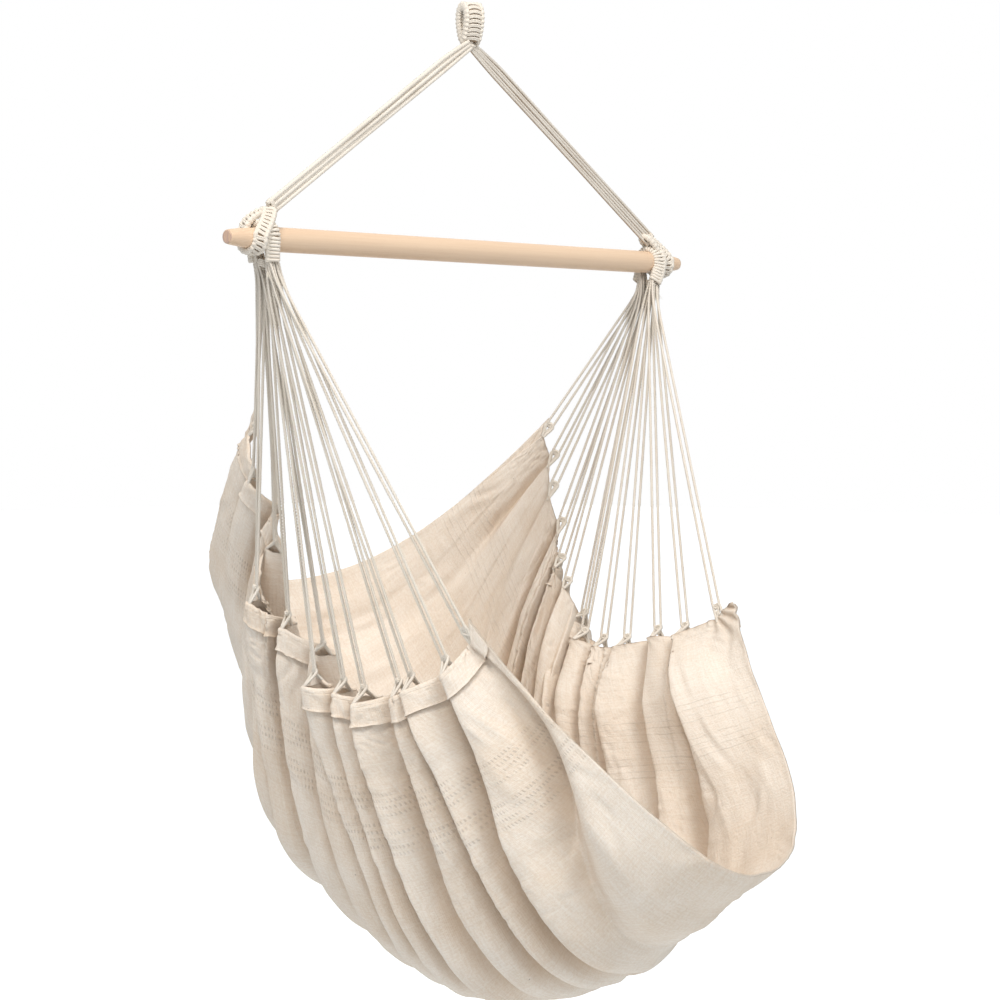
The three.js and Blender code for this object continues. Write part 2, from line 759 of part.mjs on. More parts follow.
const turnGaps = [leastTurnGap(eyeWound)];
for (const [word, side] of [["left", -1], ["right", 1]]) {
  legCords(side).forEach((stations, i) => {
    add(bridle, `leg_cord_${word}_${i + 1}`, cord(stations, legCord), cottonCord);
  });
  const bridleCentre = (share) => bridleRingCentre(side, share);
  const seatCentre = (share) => seatRingCentre(side, share);
  const bridleBand = bandCore(bridleCentre, barLine, ringCoreHalfBreadth, ringCoreHalfThick, ringSteps);
  add(bridle, `bridle_ring_${word}`, joined(bridleBand, bridleNeck(side).geometry), cottonCord);
  const bridleWound = ringWrapping(bridleCentre, bridleWrapFromShare, 1 - bridleWrapFromShare);
  add(bridle, `bridle_ring_wrapping_${word}`, wound(bridleWound), cottonWrap);
  const seatBand = bandCore(seatCentre, barLine, ringCoreHalfBreadth, ringCoreHalfThick, ringSteps);
  add(seat, `seat_ring_${word}`, joined(seatBand, seatNeck(side).geometry), cottonCord);
  const seatWound = ringWrapping(seatCentre, seatWrapFromShare, 2 - seatWrapFromShare);
  add(seat, `seat_ring_wrapping_${word}`, wound(seatWound), cottonWrap);
  turnGaps.push(leastTurnGap(bridleWound), leastTurnGap(seatWound));
  fanOrder(side).forEach((i, rank) => {
    const stations = fanCordStations(side, i, rank);
    add(seat, `fan_cord_${word}_${twoDigits(i + 1)}`, cord(stations, fanCord), cottonCord);
  });
  add(seat, `hem_band_${word}`, hemBandWithLoops(side), cottonCloth);
}
add(seat, "seat_cloth", seatCloth(), cottonCloth);

console.log("least gap between the turns of a wrapping, mm:", Math.min(...turnGaps).toFixed(2));

export default chair;
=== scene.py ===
"""Hammock chair: cotton seat, fans of cord, spreader bar and wrapped hanging eye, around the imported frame."""
import functools
import math

import bpy
import numpy as np
from bpy.props import FloatProperty, FloatVectorProperty, PointerProperty
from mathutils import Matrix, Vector


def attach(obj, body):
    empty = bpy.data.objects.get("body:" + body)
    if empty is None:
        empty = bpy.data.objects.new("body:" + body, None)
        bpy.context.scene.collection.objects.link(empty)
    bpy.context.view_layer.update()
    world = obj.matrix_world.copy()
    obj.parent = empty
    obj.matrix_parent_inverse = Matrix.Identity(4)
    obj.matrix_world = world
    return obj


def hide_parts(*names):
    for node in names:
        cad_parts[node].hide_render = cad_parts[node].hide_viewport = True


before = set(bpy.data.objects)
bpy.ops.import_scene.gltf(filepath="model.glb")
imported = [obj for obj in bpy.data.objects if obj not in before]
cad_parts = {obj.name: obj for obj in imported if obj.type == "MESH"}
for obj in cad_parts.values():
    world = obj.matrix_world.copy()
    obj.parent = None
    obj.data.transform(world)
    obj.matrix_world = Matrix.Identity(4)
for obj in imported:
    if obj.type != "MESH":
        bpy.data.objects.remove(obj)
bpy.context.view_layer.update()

bl_info = {
    "name": "Hammock Chair",
    "version": (1, 0, 0),
    "blender": (4, 5, 0),
    "location": "View3D > Sidebar > Hammock",
    "description": "Builds the soft and wooden parts of a hanging hammock chair",
    "category": "Add Mesh",
}

# Places of the hem loops from the back corner to the front corner, as in the solid model: behind
# the bar and below it as shares of the fan's drop, then out from the hem's even line as a share
# of the hem's wave.
LEFT_LOOP_SHARES = (
    (0.207, 0.409, 0), (0.176, 0.505, 0.81), (0.148, 0.588, -0.25), (0.152, 0.672, -0.23),
    (0.162, 0.78, 0.86), (0.111, 0.84, -0.2), (0.022, 0.902, -0.67), (-0.001, 0.963, 0.45),
    (-0.067, 0.979, 0), (-0.126, 0.994, 0), (-0.228, 0.975, 0), (-0.258, 0.96, 0),
    (-0.353, 0.919, 0), (-0.401, 0.855, 0))
RIGHT_LOOP_SHARES = (
    (0.19, 0.413, 0), (0.183, 0.483, 0.24), (0.17, 0.561, -0.19), (0.157, 0.653, 0.14),
    (0.152, 0.745, 0), (0.129, 0.803, 0.02), (0.086, 0.884, 0.42), (0.052, 0.927, -0.3),
    (-0.006, 0.941, 0), (-0.088, 0.936, 0), (-0.194, 0.909, 0), (-0.288, 0.897, 0),
    (-0.395, 0.847, 0))
SIDES = (("left", -1), ("right", 1))
# Rows of drawn threads, in metres from the hem's edge.
DRAWN_ROWS = (0.145, 0.155, 0.165, 0.176, 0.205, 0.216, 0.227, 0.238)
WEFT_PITCH, WARP_PITCH, SLOT_PITCH = 0.0021, 0.0019, 0.0047
INNER_SIDE = 2.0  # added to the cloth's second coordinate on its inner side
# A band's core carries this first coordinate where it shows between the turns, and is painted there in dark
# shade.
SHADED_GAP_MARK = 3.0  # first coordinate of what shows between the turns of a band
X, Y, Z = np.eye(3)


def metres(label, text, value):
    return FloatProperty(name=label, description=text, default=value, subtype="DISTANCE", unit="LENGTH")


def colour(label, text, value):
    return FloatVectorProperty(name=label, description=text, default=value, subtype="COLOR", size=3,
                               min=0.0, max=1.0)


class HammockSizes(bpy.types.PropertyGroup):
    """Sizes of the chair, in metres, as in the solid model"""
    bar_drop: metres("Bar drop", "Hook point down to the bar's axis", 0.370)
    bar_length: metres("Bar length", "Spreader bar, end to end", 1.0)
    bar_radius: metres("Bar radius", "Middle of the spreader bar", 0.018)
    tip_radius: metres("Tip radius", "End face of the bar", 0.0095)
    taper: metres("Taper", "Length of the bar's turned end", 0.095)
    fan_drop: metres("Fan drop", "Bar's axis down to the lowest loops", 0.650)
    half_span_back: metres("Half span, back", "Half the width between the hems at the back", 0.321)
    half_span_front: metres("Half span, front", "Half the width between the hems at the front", 0.287)
    span_swell: metres("Span swell", "Extra half width half way", 0.015)
    hem_wave: metres("Hem wave", "How far single loops stand in or out", 0.030)
    loop_rise: metres("Loop rise", "Hem up to a loop's crown", 0.013)
    hem_height: metres("Hem height", "Folded hem", 0.040)
    cloth_half: metres("Half cloth", "Half the cloth's thickness", 0.0008)
    fold_hem: metres("Fold at the hem", "Depth of the pleats that end near the hem", 0.006)
    fold_long: metres("Long fold", "Depth of the pleats that run down the cloth", 0.056)
    fan_cord: metres("Fan cord", "Diameter of a fan cord", 0.0047)
    loop_cord: metres("Loop cord", "Diameter of a hem loop's cord", 0.0053)
    leg_cord: metres("Leg cord", "Diameter of a leg's cord", 0.0051)
    wrap_cord: metres("Wrap cord", "Diameter of the cord wound round rings and eye", 0.0034)


class HammockColours(bpy.types.PropertyGroup):
    """Colours of the chair's finishes"""
    cloth: colour("Cloth", "Undyed cotton cloth", (0.915, 0.838, 0.745))
    cloth_deep: colour("Cloth, deep", "Warmer, older patches of the cloth", (0.765, 0.625, 0.485))
    # Painted light: the inner side is paled a little to offset the warm light that bounces about inside the
    # seat.
    cloth_inner_light_offset: colour("Cloth, inner side", "Paler tint painted on the inner side to offset its bounced light", (0.93, 0.87, 0.80))
    # Painted shade: this warm brown darkens the folds of the cloth wherever they close in.
    cloth_fold_shade: colour("Cloth, painted fold shade", "Painted shade where the folds close in", (0.55, 0.40, 0.27))
    fleck: colour("Fleck", "Seed flecks in the cloth", (0.20, 0.13, 0.08))
    cord: colour("Cord", "Undyed cotton cord", (0.80, 0.748, 0.668))
    # Partly painted shade: this darkens the grooves between the plies, and it is also the cord's darker random
    # tone.
    cord_tone_and_groove_shade: colour("Cord, deep", "Between the plies of the cord", (0.60, 0.46, 0.32))
    # Painted shade: the dark brown of what shows between the turns of a band, and of the grooves between a
    # leg's cords.
    painted_shade: colour("Painted shade", "Painted shade under a band's turns and between leg cords", (0.40, 0.29, 0.19))
    beech: colour("Beech", "Light beech", (0.78, 0.585, 0.415))
    beech_dark: colour("Beech, grain", "Darker lines of the grain", (0.67, 0.46, 0.30))
    end_grain: colour("End grain", "Cut ends of the bar", (0.44, 0.30, 0.26))


def sizes():
    return bpy.context.scene.hammock_sizes


def colours():
    return bpy.context.scene.hammock_colours


# ---------------------------------------------------------------- small geometry

def unit(v):
    v = np.asarray(v, float)
    return v / np.maximum(np.linalg.norm(v, axis=-1, keepdims=True), 1e-12)


def rotate_z(points, angle):
    c, s = math.cos(angle), math.sin(angle)
    return np.asarray(points) @ np.array([[c, s, 0], [-s, c, 0], [0, 0, 1]])


def around(count):
    """Angles of a full turn."""
    return 2 * math.pi * np.arange(count) / count


def squared(x, power):
    """A sine or cosine raised to a power below 1, which draws a circle out towards a square."""
    return np.sign(x) * np.abs(x) ** power


def rise(x, start, length):
    """0 up to start, then up to 1 over length."""
    return np.clip((x - start) / length, 0, 1)


def fall(x, end, length):
    """1, then down to 0 over the length before end."""
    return np.clip((end - x) / length, 0, 1)


def fades(x, reach, power=1.5):
    """1 at 0, about a third at reach, and soon 0 beyond it."""
    return np.exp(-(x / reach) ** power)


def beside(direction):
    """A direction at right angles to another."""
    return unit(np.cross(direction, Z if abs(direction[2]) < 0.9 else X))


def arc_of(path):
    steps = np.linalg.norm(np.diff(path, axis=0), axis=1)
    return np.concatenate([[0.0], np.cumsum(steps)])


def resample(path, step):
    arc = arc_of(path)
    count = max(int(round(arc[-1] / step)), 2)
    at = np.linspace(0, arc[-1], count + 1)
    return np.stack([np.interp(at, arc, path[:, k]) for k in range(3)], axis=1)


def rounded(path, rounds=3):
    """Corner cutting, which keeps the two ends."""
    path = np.asarray(path, float)
    for _ in range(rounds):
        low = path[:-1] * 0.75 + path[1:] * 0.25
        high = path[:-1] * 0.25 + path[1:] * 0.75
        cut = np.empty((2 * len(low), 3))
        cut[0::2], cut[1::2] = low, high
        path = np.vstack([path[:1], cut, path[-1:]])
    return path


def lattice(u, v, seed):
    """Smooth value noise between -1 and 1 on a square lattice."""
    u, v = np.broadcast_arrays(np.asarray(u, float), np.asarray(v, float))
    iu, iv = np.floor(u).astype(np.int64), np.floor(v).astype(np.int64)
    fu, fv = u - iu, v - iv
    fu, fv = fu * fu * (3 - 2 * fu), fv * fv * (3 - 2 * fv)

    def corner(a, b):
        h = (a * 374761393 + b * 668265263 + seed * 1442695041) & 0x7FFFFFFF
        h = ((h ^ (h >> 13)) * 1274126177) & 0x7FFFFFFF
        return ((h ^ (h >> 16)) & 0xFFFF) / 32767.5 - 1

    low = corner(iu, iv) * (1 - fu) + corner(iu + 1, iv) * fu
    high = corner(iu, iv + 1) * (1 - fu) + corner(iu + 1, iv + 1) * fu
    return low * (1 - fv) + high * fv


def new_object(name, verts, faces, material, uv=None):
    """A smooth mesh object. Where a face crosses the seam of a tube, its uv runs on past 1."""
    mesh = bpy.data.meshes.new(name)
    verts = np.asarray(verts, dtype=np.float32).reshape(-1, 3)
    mesh.from_pydata(verts.tolist(), [], faces)
    if uv is not None:
        layer = mesh.uv_layers.new(name="threads")
        corners = np.empty(len(mesh.loops), dtype=np.int32)
        mesh.loops.foreach_get("vertex_index", corners)
        uv = np.asarray(uv, dtype=np.float32)[corners]
        starts = np.empty(len(mesh.polygons), dtype=np.int32)
        totals = np.empty(len(mesh.polygons), dtype=np.int32)
        mesh.polygons.foreach_get("loop_start", starts)
        mesh.polygons.foreach_get("loop_total", totals)
        span = np.maximum.reduceat(uv[:, 0], starts) - np.minimum.reduceat(uv[:, 0], starts)
        uv[:, 0] += (np.repeat(span, totals) > 0.5) & (uv[:, 0] < 0.5)
        layer.data.foreach_set("uv", uv.ravel())
    mesh.polygons.foreach_set("use_smooth", [True] * len(mesh.polygons))
    mesh.materials.append(material)
    mesh.update()
    piece = bpy.data.objects.new(name, mesh)
    bpy.context.collection.objects.link(piece)
    return piece


def grid_faces(rows, columns, offset=0, wrap=False, closed=False):
    """Quads of a grid; wrap joins its last column to the first, closed its last row to the first."""
    a = np.arange(rows if closed else rows - 1)[:, None]
    b = np.arange(columns if wrap else columns - 1)[None, :]
    low, high, after = a * columns, (a + 1) % rows * columns, (b + 1) % columns
    quads = np.stack([low + b, low + after, high + after, high + b], axis=-1)
    return quads.reshape(-1, 4) + offset


def tube_faces(rings, sides, closed=False):
    """Quads between rings of corners, with a face at each end unless the tube closes on itself."""
    faces = grid_faces(rings, sides, wrap=True, closed=closed).tolist()
    if closed:
        return faces
    end = (rings - 1) * sides
    return faces + [list(range(sides))[::-1], list(range(end, end + sides))]


def tube_uv(sides, arc):
    """Share of the way round and metres along, for every corner of a tube."""
    shares = (np.arange(sides) / sides)[None, :]
    return np.stack(np.broadcast_arrays(shares, arc[:, None]), axis=-1).reshape(-1, 2)


class Skin:
    """Collects closed shapes of one piece."""

    def __init__(self):
        self.verts, self.uvs, self.faces, self.count = [], [], [], 0

    def add(self, verts, faces, uvs=None):
        verts = np.asarray(verts, float).reshape(-1, 3)
        self.verts.append(verts)
        self.uvs.append(np.zeros((len(verts), 2)) if uvs is None else np.asarray(uvs, float))
        self.faces.extend([[int(i) + self.count for i in f] for f in faces])
        self.count += len(verts)
        return self

    def piece(self, name, material, body, slot, *nodes):
        made = new_object(name, np.vstack(self.verts), self.faces, material, np.vstack(self.uvs))
        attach(made, body)
        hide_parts(*nodes)
        return made


def steady_normals(path):
    """Two normals that follow a path without turning round it."""
    tangent = unit(np.gradient(path, axis=0))
    n = beside(tangent[0])
    normals = np.empty_like(tangent)
    for i, t in enumerate(tangent):
        n = n - t * (n @ t)
        n = n / max(math.sqrt(n @ n), 1e-12)
        normals[i] = n
    return normals, np.cross(tangent, normals)


PLIES = 3
# Corners of one ply: angle from its middle as a share of the ply, and share of the cord's radius.
PLY_CORNERS = ((-0.21, 0.97), (0.21, 0.97), (0.5, 0.78))


def twisted(path, diameter, lay, phase=0.0):
    """A cord whose plies twist round each other, once in each lay."""
    n, b = steady_normals(path)
    arc = arc_of(path)
    angles, radii = np.array([(2 * math.pi / PLIES * (k + part), diameter / 2 * reach)
                              for k in range(PLIES) for part, reach in PLY_CORNERS]).T
    a = angles + (phase + 2 * math.pi * arc / lay)[:, None]
    verts = path[:, None] + (radii * np.cos(a))[..., None] * n[:, None] \
        + (radii * np.sin(a))[..., None] * b[:, None]
    return verts, tube_faces(len(path), len(angles)), tube_uv(len(angles), arc)


def blended(path, diameter, sides, taper=1.0, turn=0.0):
    """A plain round strand; taper is its width by place."""
    n, b = steady_normals(path)
    a = (around(sides) + turn)[:, None]
    size = np.broadcast_to(taper * diameter / 2, len(path))[:, None, None]
    verts = path[:, None] + size * (np.cos(a) * n[:, None] + np.sin(a) * b[:, None])
    return verts, tube_faces(len(path), sides), tube_uv(sides, arc_of(path))


# ---------------------------------------------------------------- the seat's shape

def evened(points):
    """A line of points with its single ones drawn in; its ends stay."""
    for _ in range(2):
        out = points.copy()
        out[1:-1] = (2 * points[1:-1] + points[:-2] + points[2:]) / 4
        points = out
    return points


def spline_at(points, share):
    """Catmull-Rom curve through points, share from 0 to 1, and straight on beyond its ends."""
    n = len(points) - 1
    share = np.asarray(share, float)
    inner = np.clip(share, 0, 1)
    beyond = (share - inner)[..., None] * n * np.where((share < 0.5)[..., None], points[1] - points[0],
                                                       points[-1] - points[-2])
    place = np.clip(inner * n, 0, n - 1e-9)
    i = np.floor(place).astype(int)
    w = (place - i)[..., None]
    first = 2 * points[0] - points[1]
    last = 2 * points[-1] - points[-2]
    wide = np.vstack([first, points, last])
    p0, p1, p2, p3 = (wide[i + k] for k in range(4))
    return beyond + 0.5 * (2 * p1 + (p2 - p0) * w + (2 * p0 - 5 * p1 + 4 * p2 - p3) * w ** 2
                           + (3 * p1 - p0 - 3 * p2 + p3) * w ** 3)


# Sizes round the bar that the solid model's rings have too, in metres.
BAR_TAPER_POWER = 0.62
SEAT_RING_INSET = 0.069  # bar's end to the middle of a seat ring
BRIDLE_RING_INSET = 0.047  # bar's end to the lowest point of a bridle ring
BRIDLE_RING_LEAN = 0.032  # how much further in its top stands
BRIDLE_RING_RISE = 0.042  # bar's axis up to its top
RING_BAND = 0.0016 + 0.0007 + 0.0012  # from a ring's inner face to the middle of its band
SEAT_RING_PLAY, BRIDLE_RING_PLAY = 0.0004 + 0.0012, 0.0010  # from the bar to a ring's inner face
SEAT_NECK_LENGTH = 0.020
SEAT_RING_HANG = 0.033  # how far its two ends hang below the bar's axis


def bar_radius_at(x):
    s = sizes()
    share = rise(s.bar_length / 2 - np.abs(x), 0, s.taper)
    return s.tip_radius + (s.bar_radius - s.tip_radius) * share ** BAR_TAPER_POWER


def seat_ring_radius():
    x = sizes().bar_length / 2 - SEAT_RING_INSET - RING_BAND
    return float(bar_radius_at(x)) + SEAT_RING_PLAY + RING_BAND


def seat_neck_end(side):
    s = sizes()
    return np.array([side * (s.bar_length / 2 - SEAT_RING_INSET), 0,
                     -s.bar_drop - seat_ring_radius() - SEAT_NECK_LENGTH])


def loop_crowns(side):
    s = sizes()
    shares = np.array(LEFT_LOOP_SHARES if side < 0 else RIGHT_LOOP_SHARES)
    t = np.linspace(0, 1, len(shares))
    half = s.half_span_back + (s.half_span_front - s.half_span_back) * t + 4 * s.span_swell * t * (1 - t)
    return np.stack([side * (half + shares[:, 2] * s.hem_wave), shares[:, 0] * s.fan_drop,
                     -s.bar_drop - shares[:, 1] * s.fan_drop], axis=1)


def hem_points(side):
    crowns = loop_crowns(side)
    pull = unit(seat_neck_end(side) - crowns)
    return crowns - pull * sizes().loop_rise


# Control points of the seat's lowest line, from the back edge to the front one: behind the bar
# and below it, in metres.
SPINE = ((0.473, 0.527), (0.147, 1.193), (-0.073, 1.299), (-0.572, 0.904))
# How steeply the seat's sides leave that line, at the back, half way and at the front.
DEPTH_POWERS, DROP_POWERS = (3.0, 5.15, 2.7), (3.63, 3.3, 2.21)


def spine_at(t):
    p = np.array([[0, y, -sizes().bar_drop - below] for y, below in SPINE])
    t = np.asarray(t, float)[..., None]
    return (p[0] * (1 - t) ** 3 + 3 * p[1] * t * (1 - t) ** 2 + 3 * p[2] * t * t * (1 - t) + p[3] * t ** 3)


def three_way(values, t):
    """The parabola through three values, at 0, at a half and at 1."""
    a, b, c = values
    return a * (1 - t) * (1 - 2 * t) + b * 4 * t * (1 - t) + c * t * (2 * t - 1)


def plain_seat(t, w):
    """Seat without pleats: t from the back edge to the front, w from -1 at the left hem to 1."""
    t, w = np.broadcast_arrays(t, w)
    low = spine_at(t)
    edge = np.empty(t.shape + (3,))
    for side in (-1, 1):
        hem = hem_points(side)
        here = (w < 0) if side < 0 else (w >= 0)
        fade = (np.abs(w[here]) ** 8)[:, None]
        edge[here] = spline_at(evened(hem), t[here]) * (1 - fade) + spline_at(hem, t[here]) * fade
    a = np.abs(w)
    swell = 1 + 4 * t * (1 - t) * 0.033 * (1 - a ** 4)
    depth = a ** three_way(DEPTH_POWERS, t)
    drop = a ** three_way(DROP_POWERS, t)
    return np.stack([edge[..., 0] * a * swell, low[..., 1] + (edge[..., 1] - low[..., 1]) * depth,
                     low[..., 2] + (edge[..., 2] - low[..., 2]) * drop], axis=-1)


class Cloth:
    """The seat's middle surface on a grid: rows run from the back edge to the front edge, columns
    from the left hem to the right one, closer together near the hems. Its corners reach a little
    past the last loops."""

    ROWS, COLUMNS, FINE_COLUMNS = 561, 321, 481
    LENGTH = 1.41  # back edge to front edge, in metres of cloth
    GATHERED = 0.90  # first loop to last loop, along the hem
    LAG = 0.54  # metres from back to front that count as a whole hem
    # Corners past the last loops: reach as a share of the hem, and rise in metres.
    BACK = {-1: (0.022, 0.034), 1: (0.020, 0.018)}
    FRONT = {-1: (0.024, 0.020), 1: (0.046, 0.018)}
    # Broad swells and dips: height, place and spread from back to front, place and spread from
    # the hem, and whether only the left side has it.
    SWELLS = ((-0.024, 0.085, 0.085, 0.38, 0.15, True), (0.020, 0.285, 0.06, 0.43, 0.12, True),
              (-0.010, 0.47, 0.10, 0.48, 0.12, True), (0.011, 0.76, 0.09, 0.60, 0.12, False))

    def __init__(self):
        rows, columns = self.ROWS, self.COLUMNS
        steps = np.linspace(0, 1, rows)[:, None]
        fine = np.sin(np.linspace(-math.pi / 2, math.pi / 2, self.FINE_COLUMNS))[None, :]
        back, front = (np.where(fine < 0, ends[-1][0], ends[1][0]) * np.abs(fine) ** 14
                       for ends in (self.BACK, self.FRONT))
        t = steps * (1 + back + front) - back
        dense = plain_seat(t, fine)
        arc = np.concatenate([np.zeros((rows, 1)), np.cumsum(
            np.linalg.norm(np.diff(dense, axis=1), axis=2), axis=1)], axis=1)
        self.total = arc[:, -1]
        u = np.linspace(-1, 1, columns)
        self.share = 0.5 + 0.5 * (0.60 * np.sin(u * math.pi / 2) + 0.40 * u)
        self.plain = np.empty((rows, columns, 3))
        self.t = np.empty((rows, columns))
        for i in range(rows):
            at = self.share * arc[i, -1]
            self.t[i] = np.interp(at, arc[i], t[i])
            for k in range(3):
                self.plain[i, :, k] = np.interp(at, arc[i], dense[i, :, k])
        self.from_left = self.share[None, :] * self.total[:, None]
        self.from_hem = np.minimum(self.from_left, self.total[:, None] - self.from_left)
        self.outward = self.normals(self.plain)
        self.forward = unit(np.gradient(self.plain, axis=0))
        self.along = self.t * self.LENGTH
        self.points = self.plain + self.folds() + self.drawn()
        self.normal = self.normals(self.points)

    @staticmethod
    def normals(p):
        return unit(np.cross(np.gradient(p, axis=1), np.gradient(p, axis=0)))

    def on_side(self, side):
        left = self.share[None, :] < 0.5
        return left if side < 0 else ~left

    def edge(self, side):
        return self.plain[:, :1] if side < 0 else self.plain[:, -1:]

    def places(self, side):
        """Number of spaces between the loops, nearest loop, and metres from it along the hem."""
        count = (len(LEFT_LOOP_SHARES) if side < 0 else len(RIGHT_LOOP_SHARES)) - 1
        place = self.t * count
        nearest = np.clip(np.round(place), 0, count)
        return count, nearest, (place - nearest) * self.GATHERED / count

    def drawn(self):
        """What the loops do to the hem's edge: it hangs below them, with a notch under each, and
        its corners stand up."""
        t, d = self.t, self.from_hem
        move = np.zeros(self.plain.shape)
        for side in (-1, 1):
            _, _, aside = self.places(side)
            notch = (0.0055 + 0.0035 * fades(aside, 0.0085, 2)) * fades(d, 0.022)
            (back, back_rise), (front, front_rise) = self.BACK[side], self.FRONT[side]
            past_back, past_front = np.maximum(-t / back, 0), np.maximum((t - 1) / front, 0)
            ear = back_rise * past_back ** 0.8 + front_rise * past_front
            pull = unit(seat_neck_end(side) - self.edge(side))
            lift = ear * fades(d, 0.055) - notch
            curl = 0.010 * past_front ** 3 * fades(d, 0.07) * (side > 0)
            here = self.on_side(side)[..., None]
            move += np.where(here, pull * lift[..., None] - Z * curl[..., None], 0.0)
        return move

    def across(self, side, count):
        """Fold lines run down the cloth: further from the hem a point takes the place of the hem
        above it, not of the hem at its own share."""
        lag = np.clip((self.edge(side)[..., 1] - self.plain[..., 1]) / self.LAG, 0, 0.5)
        steep = rise(self.t, 0.42, 0.2)
        ease = fall(self.t, 1.04, 0.25) if side < 0 else fall(self.t, 1.02, 0.36)
        return np.clip(self.t, 0, 1) * count + 0.42 * steep * ease * lag * count

    def pleats(self, side):
        """A saw of pleats: after each loop a steep edge, then a long slope to the next loop. Returns
        how far each point stands out from the plain seat, and how far it leans forward."""
        s = sizes()
        d, left = self.from_hem, side < 0
        count, nearest, aside = self.places(side)
        wander = 0.34 * lattice(self.t * 9, d * 3.5, 11 + side) * rise(d, 0, 0.30)
        bent = self.across(side, count) + wander
        number = np.round(bent)
        off = bent - number
        steep = 0.11 + 0.12 * rise(d, 0, 0.45)
        panel = np.clip(np.where(off > 0, off - steep, off + 1 - steep) / (1 - 2 * steep), 0, 1)
        saw = np.where(np.abs(off) < steep, np.sin(math.pi / 2 * off / steep),
                       1 - 2 * panel ** (2.0 if left else 2.4))
        if not left:
            past = (bent - (count - 1) - steep) / 1.6
            saw = np.where(past > 0, 1 - 2 * np.clip(past, 0, 1) ** 1.4, saw)
            number = np.minimum(number, count - 1)
        uneven = 1 + 0.55 * lattice(number + 0.5, 0 * d, 5 + side)
        spare = (0.45 + 0.55 * rise(self.t, 0.12, 0.25)) * fall(self.t, 1.01, 0.07 if left else 0.10)
        calm = 1 - 0.6 * fall(self.t, 0.42, 0.2) * rise(d, 0.15, 0.15)
        near = s.fold_hem * np.exp(-d / 0.10)
        far = s.fold_long / 2 * (1 - 0.65 * fades(d, 0.06)) * fades(d, 0.56, 2.5) * calm
        far = far * (1 + 0.40 * lattice(bent * 0.9, d * 2.2, 21 + side))
        deeper = 1.4 if left else 0.55 + 0.80 * rise(self.t, 0.22, 0.26)
        size = (near + far) * uneven * fall(d, 0.74, 0.30) * spare * deeper
        inset = (0.42 if left else 0.54) * rise(d, 0, 0.12)
        out = size * (saw * -side - inset)
        lean = -0.50 * size * saw * np.abs(saw) * fades(d, 0.30, 2)
        radius = np.hypot(aside, d + 0.014)
        rays = np.cos(13 * np.arctan2(aside, d + 0.014) + 2.1 * nearest)
        gathers = 0.0004 + 0.0022 * (not left) * rise(self.t, 0.96, 0.03)
        return out + gathers * rays * fades(radius - 0.035, 0.030, 2), lean

    def folds(self):
        """All that lifts the cloth off the plain seat: pleats, swells, ridges and crumples."""
        t, d = self.t, self.from_hem
        left = self.on_side(-1)
        out, lean = (np.where(left, on_left, on_right)
                     for on_left, on_right in zip(self.pleats(-1), self.pleats(1)))
        for height, at, spread, away, wide, left_only in self.SWELLS:
            here = left if left_only else 1
            out += here * height * np.exp(-((t - at) / spread) ** 2 - ((d - away) / wide) ** 2)
        reach = rise(d, 0, 0.10)
        ridges = np.abs(lattice(t * 15 + 0.6 * lattice(t * 6, d * 5, 3), d * 1.6, 31))
        out += reach * 0.012 * (0.42 - ridges) * np.exp(-np.abs(d - 0.36) / 0.30)
        out += reach * 0.0034 * lattice(t * 38, d * 6, 41)
        out += reach * 0.0018 * lattice(t * 85 + 3 * lattice(t * 10, d * 10, 44), d * 20, 43)
        crumple = np.abs(lattice(t * 95 + 2 * lattice(t * 20, d * 20, 45),
                                 d * 60 + 2 * lattice(t * 22, d * 18, 46), 47))
        out += 0.0030 * (0.4 - crumple) * np.clip(0.35 + lattice(t * 7, d * 6, 48), 0, 1)
        return self.outward * out[..., None] + self.forward * lean[..., None]


@functools.lru_cache(maxsize=1)
def the_cloth():
    return Cloth()


def closed_sheet(mid, normal, half, uv):
    """A closed sheet from the middle surface: half is the half thickness, grid or number."""
    rows, columns = mid.shape[:2]
    half = np.broadcast_to(half, (rows, columns))[..., None]
    outer, inner = mid + normal * half, mid - normal * half
    size = rows * columns
    faces = grid_faces(rows, columns)
    back = grid_faces(rows, columns, size)[:, ::-1]
    ring = np.concatenate([np.arange(columns - 1), np.arange(rows - 1) * columns + columns - 1,
                           size - 1 - np.arange(columns - 1), (rows - 1 - np.arange(rows - 1)) * columns])
    after = np.roll(ring, -1)
    rim = np.stack([ring, ring + size, after + size, after], axis=1)
    uv = uv.reshape(-1, 2)
    return Skin().add(np.concatenate([outer.reshape(-1, 3), inner.reshape(-1, 3)]),
                      np.vstack([faces[:, ::-1], back[:, ::-1], rim[:, ::-1]]).tolist(),
                      np.concatenate([uv, uv + (0, INNER_SIDE)]))


# ---------------------------------------------------------------- finishes

def node_group(name, inputs, outputs):
    """A shader node group with named sockets; returns it with its input and output nodes."""
    tree = bpy.data.node_groups.new(name, "ShaderNodeTree")
    for label, kind, value in inputs:
        made = tree.interface.new_socket(name=label, in_out="INPUT", socket_type=kind)
        if value is not None:
            made.default_value = value
    for label, kind in outputs:
        tree.interface.new_socket(name=label, in_out="OUTPUT", socket_type=kind)
    return tree, tree.nodes.new("NodeGroupInput"), tree.nodes.new("NodeGroupOutput")


